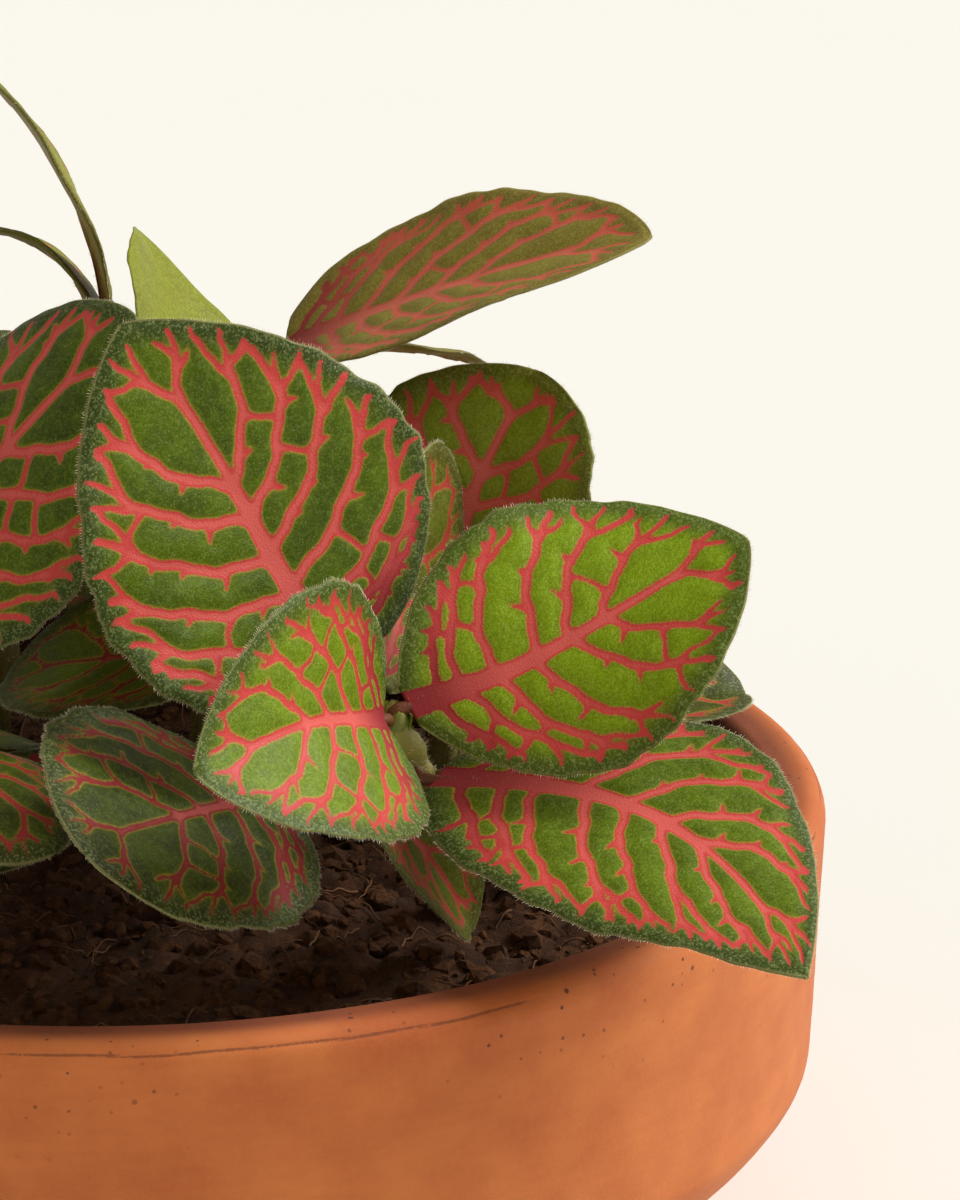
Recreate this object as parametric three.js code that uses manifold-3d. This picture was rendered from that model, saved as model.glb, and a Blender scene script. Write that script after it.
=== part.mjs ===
// A nerve plant in a low terracotta bowl: the pot, its soil and eleven leafy shoots.
// Millimetres and degrees, +Z up, with the origin at the centre of the pot's flat foot.
// The bowl stands on z = 0, and the side that is seen first faces -Y.

import * as THREE from 'three';
import { mergeVertices } from 'three/addons/utils/BufferGeometryUtils.js';
import Module from 'manifold-3d';

const wasm = await Module();
wasm.setup();

// Pot: a band that flares a little to the lip, then one tight corner into a long slope to a flat foot
const POT = {
  radius: 61.4, lowRadius: 60.4, height: 42, wall: 5.6, floor: 5, footRadius: 25, cornerHeight: 19,
  cornerPower: 1.33, lip: 2, innerLip: 1.4, sides: 48,
};
const CORNER_STEPS = 6;
const ROUND_MIDDLE = 1 - Math.SQRT1_2;
const DRAIN = { count: 3, radius: 3, ring: 14, sides: 8 };

// Soil: fills the bowl, a little proud in the middle, uneven on top
const GAP = 0.3;
const SOIL = { level: 33.2, mound: 1.6, lump: 0.7, sides: 36, rings: [50, 38, 25, 11] };

// Stems: thickest where they leave the soil, ending in a small pointed bud
const STEM = { foot: 24, baseRadius: 1.5, topRadius: 1.1, sides: 6, steps: 6, jointSteps: 60 };
const BUD = [
  { rise: 1.2, radius: 1.3 },
  { rise: 2.6, radius: 1 },
  { rise: 3.8, radius: 0.25 },
];

// Leaves: thickness at the edge, what the midrib adds, and what its foot adds
const BLADE = { edge: 0.6, midrib: 0.5, foot: 0.6, footWidth: 0.9, tipWidth: 0.25, firstRow: 0.02 };
const CREASE = { round: 0.1, slope: 0.9 };
const MARGIN_WAVE = { height: 0.03, count: 2.2, sideShift: 1.3 };
const STRAIGHT = 1e-4;

// Leaf stalks: how far along they leave the stem, how much they lift, how far before the blade they line up
const STALK = { halfWidth: 0.95, thickness: 1.9, edge: 0.35, steps: 2, leave: 0.3, lift: 0.12, arrive: 0.35 };
const ACROSS = [-1, -0.5, 0, 0.5, 1];
const LONG_LEAF = { length: 28, rows: 7 };
const SHORT_LEAF = { rows: 5 };
const USUAL_LEAF = {
  droop: 18, fold: 0.14, cup: 0.04, twist: 0, sweep: 0, shear: 0, baseRound: 0.5, tipRound: 0.62,
};

// Each stem runs through three points. A leaf has the height of its joint on the stem, the place of its
// blade's base, its heading round +Z from +X, its pitch above level, and its roll, positive with the left
// side raised. droop bends it down along its length and twist turns it. fold and cup raise its two sides,
// straight and rounded, as a share of their width. sweep bows its midrib to the left, as a share of its
// length. shear sets its left side nearer to the tip than its right, as a share of its width. Small values
// of baseRound and tipRound give a blunt end, large ones a pointed end.
const SHOOTS = [
  {
    name: 'shoot_front_right',
    stem: [[28.5, -10, 30], [27, -17.5, 45], [24, -33.5, 57]],
    leaves: [
      { joint: 56.5, at: [24.6, -34.1, 60.3], heading: 13, pitch: 23, roll: 61, length: 31.5,
        width: 25.5, droop: 0, fold: 0.1, cup: -0.01, twist: -42, sweep: -0.03, shear: -0.04,
        baseRound: 0.76, tipRound: 0.75 },
      { joint: 56, at: [23.4, -35.1, 59.7], heading: -103, pitch: 15, roll: -70, length: 29, width: 22,
        droop: 36, fold: 0.21, cup: 0.11, twist: 11, sweep: -0.03, shear: 0.14, baseRound: 0.44,
        tipRound: 0.67 },
      { joint: 54.5, at: [20.3, -29.5, 61.5], heading: 195, pitch: 61, roll: -60, length: 35.5,
        width: 32.5, droop: 6, fold: 0.08, cup: -0.02, twist: -17, shear: 0.06, baseRound: 0.51,
        tipRound: 0.81 },
      { joint: 55, at: [26.3, -32.7, 53.8], heading: -46, pitch: -7, roll: 18, length: 43, width: 27.5,
        droop: 0, fold: 0.05, cup: -0.06, twist: -13, sweep: 0.18, shear: -0.3, baseRound: 0.69,
        tipRound: 0.97 },
      { joint: 49, at: [15, -27.9, 50.1], heading: -118, pitch: 10, roll: -34, length: 31.5, width: 25,
        droop: 0, fold: 0.04, cup: -0.08, twist: -3, sweep: -0.05, baseRound: 0.59, tipRound: 0.64 },
      { joint: 51, at: [22.3, -24.5, 58.9], heading: 70, pitch: 42, roll: 88, length: 24, width: 16.5,
        droop: 2, fold: 0.12, cup: 0.02, twist: -4, shear: -0.13, tipRound: 0.59 },
      { joint: 51, at: [21, -25.4, 51.5], heading: 12, pitch: -50, roll: 44, length: 19, width: 13,
        droop: 22, fold: 0.23, cup: 0.13, twist: -12, shear: 0.09, tipRound: 0.63 },
      { joint: 49, at: [30.9, -25.9, 52.4], heading: 30, pitch: 14, roll: 10, length: 27, width: 15.5,
        droop: 21, fold: 0.25, cup: 0.16, twist: 10, shear: 0.14, baseRound: 0.52, tipRound: 0.53 },
    ],
  },
  {
    name: 'shoot_right',
    stem: [[33, 3, 30], [31.5, -2.5, 46], [27.5, -8.5, 60]],
    leaves: [
      { joint: 58, at: [27.6, -7.5, 60.9], heading: 46, pitch: 65, roll: 10, length: 22, width: 26.5,
        droop: 17, fold: 0.16, cup: 0.07, twist: -3, shear: 0.04, baseRound: 0.56, tipRound: 0.64 },
      { joint: 58, at: [22.5, -10.5, 60.5], heading: 185, pitch: 41, roll: -15, length: 25, width: 21 },
      { joint: 50, at: [25, -1, 52], heading: 118, pitch: -7, roll: 9, length: 24, width: 19 },
      { joint: 42, at: [35, -2, 45], heading: 21, pitch: 6, roll: -4, length: 20, width: 16 },
    ],
  },
  {
    name: 'shoot_middle',
    stem: [[7, -9, 30], [10, -12, 44], [13.5, -16, 57]],
    leaves: [
      { joint: 55, at: [10.4, -14.4, 58.9], heading: 149, pitch: -9, roll: -27, length: 27,
        width: 20.5, droop: 17, fold: 0.13, cup: 0.03, twist: 3, shear: -0.19, baseRound: 0.49,
        tipRound: 0.65 },
      { joint: 55, at: [15, -11, 57.5], heading: 72, pitch: 23, roll: 14, length: 21, width: 17 },
      { joint: 47, at: [3, -11.5, 47.5], heading: -133, pitch: -1, roll: 0, length: 24, width: 19 },
    ],
  },
  {
    name: 'shoot_left',
    stem: [[-30, -13, 30], [-28, -14, 46], [-24, -15, 62]],
    leaves: [
      { joint: 60, at: [-22.2, -15.6, 62.8], heading: 0, pitch: 47, roll: 27, length: 35.5, width: 33,
        droop: 3, fold: 0.01, cup: -0.15, twist: 7, sweep: -0.02, baseRound: 0.47, tipRound: 0.64 },
      { joint: 60, at: [-27, -14, 64], heading: 196, pitch: 35, roll: 12, length: 33, width: 27 },
      { joint: 53, at: [-20.2, -22.6, 53.6], heading: -48, pitch: 9, roll: 2, length: 26, width: 18.5,
        droop: 32, fold: -0.03, cup: -0.27, sweep: 0.04, shear: -0.17, tipRound: 0.65 },
      { joint: 53, at: [-32.5, -7.5, 55], heading: 154, pitch: 19, roll: 10, length: 30, width: 24 },
      { joint: 45, at: [-35, -19, 47], heading: -124, pitch: 16, roll: 15, length: 30, width: 24 },
      { joint: 45, at: [-22, -8, 47], heading: 51, pitch: -6, roll: -3, length: 26, width: 20 },
    ],
  },
  {
    name: 'shoot_tall',
    stem: [[8, 11, 30], [6, 12, 54], [9, 13, 75]],
    leaves: [
      { joint: 73, at: [12.9, 13.9, 77.3], heading: -21, pitch: 29, roll: 22, length: 37, width: 24.5,
        twist: -5, shear: 0.07, tipRound: 0.69 },
      { joint: 73, at: [4, 12.5, 77], heading: 196, pitch: 8, roll: 19, length: 22, width: 16 },
      { joint: 70, at: [5.3, 18.5, 71], heading: 101, pitch: 42, roll: 41, length: 22.5, width: 18,
        droop: 21, fold: 0.15, cup: 0.05, twist: 14, baseRound: 0.47, tipRound: 0.91 },
      { joint: 66, at: [17.6, 16, 77.3], heading: 48, pitch: -7, roll: -12, length: 20, width: 13,
        droop: 16, fold: 0.02, cup: 0, twist: 14 },
      { joint: 64, at: [1, 10, 66], heading: 192, pitch: 15, roll: -4, length: 27, width: 21 },
      { joint: 50, at: [8.5, 16.5, 53], heading: 83, pitch: 21, roll: 2, length: 26, width: 20 },
      { joint: 50, at: [3.5, 8.5, 55.5], heading: -129, pitch: 51, roll: 51, length: 27, width: 21 },
    ],
  },
  {
    name: 'shoot_tall_left',
    stem: [[-14, 22, 30], [-12, 22, 52], [-5, 22, 74]],
    leaves: [
      { joint: 73.5, at: [-2.4, 22, 79.6], heading: 177, pitch: 81.5, roll: 10.5, length: 30,
        width: 20, droop: 44, fold: 0.02, cup: 0, twist: 6, sweep: 0.08 },
      { joint: 72, at: [-3.6, 22, 79], heading: 122, pitch: 51, roll: 55, length: 20, width: 14,
        droop: 90, fold: 0.02, cup: 0, twist: -22 },
      { joint: 69, at: [-6.5, 26, 73.5], heading: 59, pitch: -7, roll: -3, length: 25, width: 19 },
      { joint: 60, at: [-12.5, 26.5, 63.5], heading: 113, pitch: 15, roll: -9, length: 31, width: 25 },
      { joint: 60, at: [-13, 17.5, 62.5], heading: -122, pitch: 11, roll: 1, length: 28, width: 22 },
      { joint: 46, at: [-17.8, 21.5, 46.6], heading: 165, pitch: -7, roll: -2, length: 30, width: 24 },
    ],
  },
  {
    name: 'shoot_far_left',
    stem: [[-38, 14, 30], [-40, 14, 45], [-42, 15, 58]],
    leaves: [
      { joint: 57, at: [-44, 17, 60], heading: 150, pitch: 35, roll: 0, length: 28, width: 22 },
      { joint: 57, at: [-41, 12, 60], heading: -40, pitch: 40, roll: 4, length: 27, width: 21 },
      { joint: 50, at: [-46, 11, 52], heading: -141, pitch: 6, roll: -13, length: 31, width: 25 },
      { joint: 50, at: [-36, 18, 52], heading: 43, pitch: 13, roll: -5, length: 28, width: 22 },
      { joint: 42, at: [-44, 17, 45], heading: 160, pitch: 5, roll: 0, length: 30, width: 24 },
    ],
  },
  {
    name: 'shoot_back_right',
    stem: [[27, 24, 30], [28, 25, 42], [29, 25, 55]],
    leaves: [
      { joint: 54, at: [32, 24, 57], heading: -35, pitch: 17, roll: -5, length: 21, width: 17 },
      { joint: 54, at: [26, 27, 57], heading: 160, pitch: 30, roll: 0, length: 25, width: 20 },
      { joint: 48, at: [31, 30, 50], heading: 77, pitch: 6, roll: -8, length: 30, width: 24 },
      { joint: 48, at: [25, 20, 50], heading: -103, pitch: 23, roll: -5, length: 25, width: 19 },
      { joint: 41, at: [33, 23, 44], heading: -22, pitch: 12, roll: 2, length: 21, width: 17 },
    ],
  },
  {
    name: 'shoot_back_left',
    stem: [[-24, 38, 30], [-25, 39, 43], [-27, 41, 55]],
    leaves: [
      { joint: 54, at: [-30, 42.5, 56.5], heading: 161, pitch: 35, roll: -2, length: 27, width: 21 },
      { joint: 54, at: [-24, 41, 58], heading: 1, pitch: 26, roll: 11, length: 26, width: 21 },
      { joint: 47, at: [-26, 45, 49], heading: 95, pitch: 12, roll: 0, length: 31, width: 25 },
      { joint: 47, at: [-28, 35, 49], heading: -90, pitch: 7, roll: 13, length: 27, width: 21 },
    ],
  },
  {
    name: 'shoot_back',
    stem: [[6, 40, 30], [6, 42, 42], [7, 44, 54]],
    leaves: [
      { joint: 53, at: [11, 45, 56], heading: 37, pitch: 4, roll: -1, length: 26, width: 20 },
      { joint: 53, at: [4.5, 43, 55], heading: 183, pitch: 14, roll: -1, length: 24, width: 19 },
      { joint: 46, at: [6, 48, 48], heading: 100, pitch: 10, roll: 0, length: 31, width: 25 },
      { joint: 46, at: [9, 38, 48], heading: -70, pitch: 12, roll: 0, length: 24, width: 19 },
    ],
  },
  {
    name: 'shoot_low_left',
    stem: [[-44, -14, 30], [-46, -15, 41], [-48, -17, 50]],
    leaves: [
      { joint: 49, at: [-50, -21, 51], heading: -115, pitch: 18, roll: 0, length: 26, width: 20 },
      { joint: 49, at: [-51, -14, 52], heading: 155, pitch: 22, roll: 0, length: 27, width: 21 },
      { joint: 42, at: [-42, -22, 44], heading: -70, pitch: 15, roll: 0, length: 26, width: 20 },
    ],
  },
];

const COLOURS = {
  clay: { color: 0xc97a4d, roughness: 0.85, metalness: 0 },
  compost: { color: 0x2b1c10, roughness: 1, metalness: 0 },
  leaf: { color: 0x4f6b22, roughness: 0.6, metalness: 0 },
};

const MERGE_DISTANCE = 1e-4;

const rad = THREE.MathUtils.degToRad;

// Solids: a closed three.js geometry to a manifold solid, and back

function solidOf(geometry) {
  const bare = geometry.clone();
  bare.deleteAttribute('normal');
  bare.deleteAttribute('uv');
  const merged = mergeVertices(bare, MERGE_DISTANCE);
  const mesh = new wasm.Mesh({
    numProp: 3,
    vertProperties: new Float32Array(merged.attributes.position.array),
    triVerts: new Uint32Array(merged.index.array),
  });
  return new wasm.Manifold(mesh);
}

function geometryOf(solid) {
  const mesh = solid.getMesh();
  const geometry = new THREE.BufferGeometry();
  geometry.setAttribute('position', new THREE.BufferAttribute(mesh.vertProperties, 3));
  geometry.setIndex(new THREE.BufferAttribute(mesh.triVerts, 1));
  geometry.computeVertexNormals();
  return geometry;
}

function geometryFrom(points, triangles) {
  const geometry = new THREE.BufferGeometry();
  geometry.setFromPoints(points);
  geometry.setIndex(triangles);
  return geometry;
}

function namedMesh(name, geometry, finish) {
  const mesh = new THREE.Mesh(geometry, new THREE.MeshStandardMaterial(finish));
  mesh.name = name;
  return mesh;
}

// Pot and soil are turned round the Z axis

function quarterCorner(radius, depth, rise, topFirst) {
  const points = [];
  for (let i = 0; i <= CORNER_STEPS; i += 1) {
    const share = i / CORNER_STEPS;
    const turn = (Math.PI / 2) * (topFirst ? 1 - share : share);
    points.push(new THREE.Vector2(
      POT.footRadius + (radius - POT.footRadius) * Math.sin(turn) ** POT.cornerPower,
      depth + rise * (1 - Math.cos(turn) ** POT.cornerPower),
    ));
  }
  return points;
}

function lathe(profile, sides) {
  return new THREE.LatheGeometry(profile, sides).rotateX(Math.PI / 2);
}

function potGeometry() {
  const inner = POT.radius - POT.wall;
  const innerRise = POT.cornerHeight - POT.floor;
  const top = POT.height;
  const lipMiddle = ROUND_MIDDLE * POT.lip;
  const profile = [
    new THREE.Vector2(0, 0),
    ...quarterCorner(POT.lowRadius, 0, POT.cornerHeight, false),
    new THREE.Vector2(POT.radius, top - POT.lip),
    new THREE.Vector2(POT.radius - lipMiddle, top - lipMiddle),
    new THREE.Vector2(POT.radius - POT.lip, top),
    new THREE.Vector2(inner + POT.innerLip, top),
    new THREE.Vector2(inner, top - POT.innerLip),
    ...quarterCorner(inner, POT.floor, innerRise, true),
    new THREE.Vector2(0, POT.floor),
  ];
  let pot = solidOf(lathe(profile, POT.sides));
  for (let i = 0; i < DRAIN.count; i += 1) {
    const turn = (2 * Math.PI * i) / DRAIN.count + Math.PI / 2;
    const drain = new THREE.CylinderGeometry(DRAIN.radius, DRAIN.radius, 3 * POT.floor, DRAIN.sides);
    drain.rotateX(Math.PI / 2);
    drain.translate(DRAIN.ring * Math.cos(turn), DRAIN.ring * Math.sin(turn), POT.floor / 2);
    pot = pot.subtract(solidOf(drain));
  }
  return geometryOf(pot);
}

function soilTop(x, y) {
  const out = Math.min(1, Math.hypot(x, y) / (POT.radius - POT.wall));
  const lumps = Math.sin(0.21 * x + 1.1) * Math.cos(0.17 * y - 0.4) + 0.5 * Math.sin(0.43 * (x - y));
  return SOIL.level + SOIL.mound * (1 - out * out) + SOIL.lump * lumps * (1 - out ** 4);
}

function soilGeometry() {
  const edge = POT.radius - POT.wall - GAP;
  const bottom = POT.floor + GAP;
  const profile = [
    new THREE.Vector2(0, bottom),
    ...quarterCorner(edge, bottom, POT.cornerHeight - bottom, false),
    new THREE.Vector2(edge, SOIL.level),
    ...SOIL.rings.map((radius) => new THREE.Vector2(radius, SOIL.level)),
    new THREE.Vector2(0, SOIL.level),
  ];
  const geometry = lathe(profile, SOIL.sides);
  const place = geometry.attributes.position;
  for (let i = 0; i < place.count; i += 1) {
    if (place.getZ(i) > SOIL.level - GAP) {
      place.setZ(i, soilTop(place.getX(i), place.getY(i)));
    }
  }
  return SHOOTS.reduce(
    (soil, shoot) => soil.subtract(solidOf(stemGeometry(shoot.stem, GAP))),
    solidOf(geometry),
  );
}

// Stems: rings of points along a curve through three points

function stemPoint(stem, share) {
  const weights = [2 * (share - 0.5) * (share - 1), -4 * share * (share - 1), 2 * share * (share - 0.5)];
  const point = new THREE.Vector3();
  stem.forEach((place, i) => point.addScaledVector(new THREE.Vector3(...place), weights[i]));
  return point;
}

function jointOn(stem, height) {
  let nearest = stemPoint(stem, 0);
  for (let i = 1; i <= STEM.jointSteps; i += 1) {
    const point = stemPoint(stem, i / STEM.jointSteps);
    if (Math.abs(point.z - height) < Math.abs(nearest.z - height)) {
      nearest = point;
    }
  }
  return nearest;
}

function stemGeometry(stem, grow) {
  const middles = [new THREE.Vector3(stem[0][0], stem[0][1], STEM.foot - grow)];
  const radii = [STEM.baseRadius + grow];
  for (let i = 0; i <= STEM.steps; i += 1) {
    const share = i / STEM.steps;
    middles.push(stemPoint(stem, share));
    radii.push(STEM.baseRadius + (STEM.topRadius - STEM.baseRadius) * share + grow);
  }
  const top = middles.at(-1);
  for (const ring of BUD) {
    middles.push(new THREE.Vector3(top.x, top.y, top.z + ring.rise));
    radii.push(ring.radius + grow);
  }
  const points = [];
  middles.forEach((middle, i) => {
    for (let j = 0; j < STEM.sides; j += 1) {
      const turn = (2 * Math.PI * j) / STEM.sides;
      points.push(new THREE.Vector3(
        middle.x + radii[i] * Math.cos(turn),
        middle.y + radii[i] * Math.sin(turn),
        middle.z,
      ));
    }
  });
  return geometryFrom(points, tubeTriangles(middles.length, STEM.sides));
}

function tubeTriangles(rings, sides) {
  const triangles = [];
  for (let i = 0; i < rings - 1; i += 1) {
    for (let j = 0; j < sides; j += 1) {
      const a = i * sides + j;
      const b = i * sides + ((j + 1) % sides);
      triangles.push(a, b, b + sides, a, b + sides, a + sides);
    }
  }
  const last = (rings - 1) * sides;
  for (let j = 1; j < sides - 1; j += 1) {
    triangles.push(0, j + 1, j, last, last + j, last + j + 1);
  }
  return triangles;
}

// Leaves: one thin solid each, stalk and blade in one, made of rows across its length

function leafFrame(leaf) {
  const heading = rad(leaf.heading);
  const pitch = rad(leaf.pitch);
  const roll = rad(leaf.roll);
  const along = new THREE.Vector3(
    Math.cos(pitch) * Math.cos(heading),
    Math.cos(pitch) * Math.sin(heading),
    Math.sin(pitch),
  );
  const level = new THREE.Vector3(-Math.sin(heading), Math.cos(heading), 0);
  const upright = new THREE.Vector3().crossVectors(along, level);
  const left = level.clone().multiplyScalar(Math.cos(roll)).addScaledVector(upright, Math.sin(roll));
  const up = upright.clone().multiplyScalar(Math.cos(roll)).addScaledVector(level, -Math.sin(roll));
  return { along, left, up };
}

function halfWidth(leaf, u) {
  const widest = leaf.baseRound / (leaf.baseRound + leaf.tipRound);
  const outline = (s) => s ** leaf.baseRound * (1 - s) ** leaf.tipRound;
  const blade = ((leaf.width / 2) * outline(u)) / outline(widest);
  return Math.max(blade, BLADE.footWidth * (1 - u) + BLADE.tipWidth * u);
}

// A point of the blade's middle surface: u runs from base to tip, v from the right edge to the left
function bladePoint(leaf, u, v) {
  const frame = leafFrame(leaf);
  const droop = rad(leaf.droop) || STRAIGHT;
  const bend = droop * u;
  const place = new THREE.Vector3(...leaf.at)
    .addScaledVector(frame.along, (Math.sin(bend) / droop) * leaf.length)
    .addScaledVector(frame.up, (-(1 - Math.cos(bend)) / droop) * leaf.length);
  const up = frame.up.clone().multiplyScalar(Math.cos(bend)).addScaledVector(frame.along, Math.sin(bend));
  const onward = frame.along.clone().multiplyScalar(Math.cos(bend)).addScaledVector(frame.up, -Math.sin(bend));
  const turn = rad(leaf.twist) * u;
  const left = frame.left.clone().multiplyScalar(Math.cos(turn)).addScaledVector(up, Math.sin(turn));
  const normal = up.clone().multiplyScalar(Math.cos(turn)).addScaledVector(frame.left, -Math.sin(turn));
  const half = halfWidth(leaf, u);
  const slope = CREASE.slope * leaf.fold + leaf.cup * Math.abs(v);
  const rise = leaf.fold * (Math.hypot(v, CREASE.round) - CREASE.round) + leaf.cup * v * v;
  const start = leaf.heading / 360;
  const phase = 2 * Math.PI * (MARGIN_WAVE.count * u + start) + MARGIN_WAVE.sideShift * Math.sign(v);
  const swing = MARGIN_WAVE.height * (leaf.width / 2) * Math.abs(v) ** 3 * Math.sin(Math.PI * u);
  const bow = leaf.sweep * leaf.length * 4 * u * (1 - u);
  place.addScaledVector(left, bow + (half * v) / Math.hypot(1, slope));
  place.addScaledVector(normal, half * rise + swing * Math.sin(phase));
  place.addScaledVector(onward, leaf.shear * half * v);
  return { place, normal };
}

function stalkRows(leaf, joint) {
  const frame = leafFrame(leaf);
  const base = new THREE.Vector3(...leaf.at);
  const reach = base.distanceTo(joint);
  const leave = joint.clone().lerp(base, STALK.leave);
  leave.z += STALK.lift * reach;
  const arrive = base.clone().addScaledVector(frame.along, -STALK.arrive * reach);
  const path = new THREE.CubicBezierCurve3(joint, leave, arrive, base);
  const rows = [];
  for (let i = 0; i < STALK.steps; i += 1) {
    const share = i / STALK.steps;
    const tangent = path.getTangent(share);
    const left = frame.left.clone().addScaledVector(tangent, -frame.left.dot(tangent)).normalize();
    const up = new THREE.Vector3().crossVectors(tangent, left);
    rows.push(ACROSS.map((v) => {
      const place = path.getPoint(share).addScaledVector(left, v * STALK.halfWidth);
      const thickness = STALK.edge + (STALK.thickness - STALK.edge) * Math.sqrt(1 - v * v);
      return { place, normal: up, half: thickness / 2 };
    }));
  }
  return rows;
}

function bladeRows(leaf) {
  const count = leaf.length >= LONG_LEAF.length ? LONG_LEAF.rows : SHORT_LEAF.rows;
  const rows = [];
  for (let i = 0; i <= count; i += 1) {
    const u = BLADE.firstRow + ((1 - BLADE.firstRow) * (1 - Math.cos((Math.PI * i) / count))) / 2;
    const keel = BLADE.midrib + BLADE.foot * (1 - u) ** 3;
    rows.push(ACROSS.map((v) => {
      const { place, normal } = bladePoint(leaf, u, v);
      return { place, normal, half: (BLADE.edge + (1 - Math.abs(v)) * keel) / 2 };
    }));
  }
  return rows;
}

// Upper and lower face are split into triangles alike, so that the thin blade never cuts itself
function leafGeometry(leaf, joint) {
  const rows = [...stalkRows(leaf, joint), ...bladeRows(leaf)];
  const columns = ACROSS.length;
  const points = [1, -1].flatMap((face) => rows.flatMap((row) => row.map(
    ({ place, normal, half }) => place.clone().addScaledVector(normal, face * half),
  )));
  const top = (i, j) => i * columns + j;
  const under = (i, j) => (rows.length + i) * columns + j;
  const triangles = [];
  const quad = (a, b, c, d) => triangles.push(a, b, c, a, c, d);
  const last = rows.length - 1;
  const side = columns - 1;
  for (let i = 0; i < last; i += 1) {
    for (let j = 0; j < side; j += 1) {
      if (j < side / 2) {
        quad(top(i, j), top(i + 1, j), top(i + 1, j + 1), top(i, j + 1));
        quad(under(i, j), under(i, j + 1), under(i + 1, j + 1), under(i + 1, j));
      } else {
        quad(top(i + 1, j), top(i + 1, j + 1), top(i, j + 1), top(i, j));
        quad(under(i, j + 1), under(i + 1, j + 1), under(i + 1, j), under(i, j));
      }
    }
    quad(top(i, 0), under(i, 0), under(i + 1, 0), top(i + 1, 0));
    quad(top(i, side), top(i + 1, side), under(i + 1, side), under(i, side));
  }
  for (let j = 0; j < side; j += 1) {
    quad(top(0, j), top(0, j + 1), under(0, j + 1), under(0, j));
    quad(top(last, j), under(last, j), under(last, j + 1), top(last, j + 1));
  }
  return geometryFrom(points, triangles);
}

function shootGeometry(shoot) {
  return geometryOf(shoot.leaves.reduce((grown, entry) => {
    const leaf = { ...USUAL_LEAF, ...entry };
    return grown.add(solidOf(leafGeometry(leaf, jointOn(shoot.stem, leaf.joint))));
  }, solidOf(stemGeometry(shoot.stem, 0))));
}

const plant = new THREE.Group();
plant.add(namedMesh('pot', potGeometry(), COLOURS.clay));
plant.add(namedMesh('soil', geometryOf(soilGeometry()), COLOURS.compost));
for (const shoot of SHOOTS) {
  plant.add(namedMesh(shoot.name, shootGeometry(shoot), COLOURS.leaf));
}

export default plant;
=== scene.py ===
"""A nerve plant in a low terracotta bowl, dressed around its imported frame.

Sizes are in millimetres until a mesh is made, which is in metres. The bowl stands on z = 0 and the side that
is seen first faces -Y. Every leaf is described as in the frame's source, so that it lies where its solid is.
"""

import math

import bpy
import numpy as np
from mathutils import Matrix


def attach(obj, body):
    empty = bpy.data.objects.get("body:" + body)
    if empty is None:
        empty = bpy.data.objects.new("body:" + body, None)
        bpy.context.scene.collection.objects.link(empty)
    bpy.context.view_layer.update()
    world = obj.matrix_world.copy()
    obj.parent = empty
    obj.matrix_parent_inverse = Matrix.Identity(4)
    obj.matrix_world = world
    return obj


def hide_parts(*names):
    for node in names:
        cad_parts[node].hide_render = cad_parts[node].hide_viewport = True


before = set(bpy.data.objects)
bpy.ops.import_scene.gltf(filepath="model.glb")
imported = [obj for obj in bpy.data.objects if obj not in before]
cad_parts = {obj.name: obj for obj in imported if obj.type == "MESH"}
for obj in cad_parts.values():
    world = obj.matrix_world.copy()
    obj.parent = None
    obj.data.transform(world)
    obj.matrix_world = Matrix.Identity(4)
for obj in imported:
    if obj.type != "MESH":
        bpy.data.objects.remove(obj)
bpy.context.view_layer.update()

MM = 0.001

# Pot: the radii of its lip and of its low wall, the rounded corner below, and the seam under its lip
POT = dict(radius=61.4, low_radius=60.4, height=42, wall=5.6, floor=5, foot=25, corner=19,
           corner_power=1.33, lip=2, inner_lip=1.4, flat=12, sides=160)
DRAIN = dict(count=3, radius=3, ring=14, sides=40)
SEAM = dict(height=41.2, depth=0.07, half_width=0.14, wander=0.22)

# Marks on the clay, from the radius or height where they start to where they are full: the inner wall's
# darkening with its lower and upper end, partly stained by the soil and partly painted shade in the bowl's
# hollow, the band on the lip with its lower end, darker from dampness and from painted shade, and specks
# below the lip
MARKS = dict(stain_and_shade=(57.1, 56.1), stain_and_shade_low=(20, 26), stain_and_shade_high=(41.2, 36), damp_and_shade=(60.5, 57.8),
             damp_and_shade_low=(30, 40), specks=(30, 41.5))

# Soil: gap keeps it off the pot, and sink lowers the clods to the mound's level. Fibres rest on it, start
# inside the field and stay inside the wall.
SOIL = dict(level=33.2, mound=1.6, lump=0.7, gap=0.3, sink=0.95, rim_drop=3, sides=200, rows=84)
FIBRES = dict(count=300, seed=31, field=50, wall=54.5, step=0.55, rest=0.15)

# Stems, and how high above a stem's top each ring of its end bud is, with its radius
STEM = dict(foot=24, soil=30, base_radius=1.5, top_radius=1.1, knuckle=0.3, knuckle_reach=1.6,
            steps=40, sides=12)
BUD = ((1.2, 1.3), (2.6, 1.0), (3.3, 0.6), (3.8, 0.25))

# Leaf stalks: they rise from the stem, arrive along the blade and run on below its midrib, at the shares
# of its length in ribs
STALK = dict(radius=0.9, base_radius=0.6, end_radius=0.25, leave=0.3, lift=0.12, arrive=0.35, sink=0.3,
             ribs=(0.03, 0.07, 0.12, 0.18), full_length=22, steps=10, sides=10)

# Blades: widths of their two ends, waves of their margin, thickness at the edge and in the middle, rise of
# the puffed fields, and the grooves and ridges of the veins. One narrower than full_width is puffed less.
BLADE = dict(foot_width=0.9, tip_width=0.25, wave=0.03, waves=2.2, first_row=0.02, last_hair=0.06,
             edge=0.22, middle=0.46, puff=0.12, dents=0.1, groove=0.06, ridge=0.55, full_width=20)
USUAL = dict(droop=18, fold=0.14, cup=0.04, twist=0, sweep=0, shear=0, baseRound=0.5, tipRound=0.62,
             grid=0.55, pairs=None, fan=1.6, ink=0.18, look=None)

# A blade's mesh has this many pairs of rows and of columns for each grid spacing; rows crowd at both its ends
MESH = dict(rows=0.58, columns=0.5, crowd=0.4)

# A leaf without veins counts as this far from one, which has this radius. It has no grey border either: its
# margin counts as this much farther away.
NO_VEIN = (4.0, 0.1)
NO_BORDER = 3.2

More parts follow.
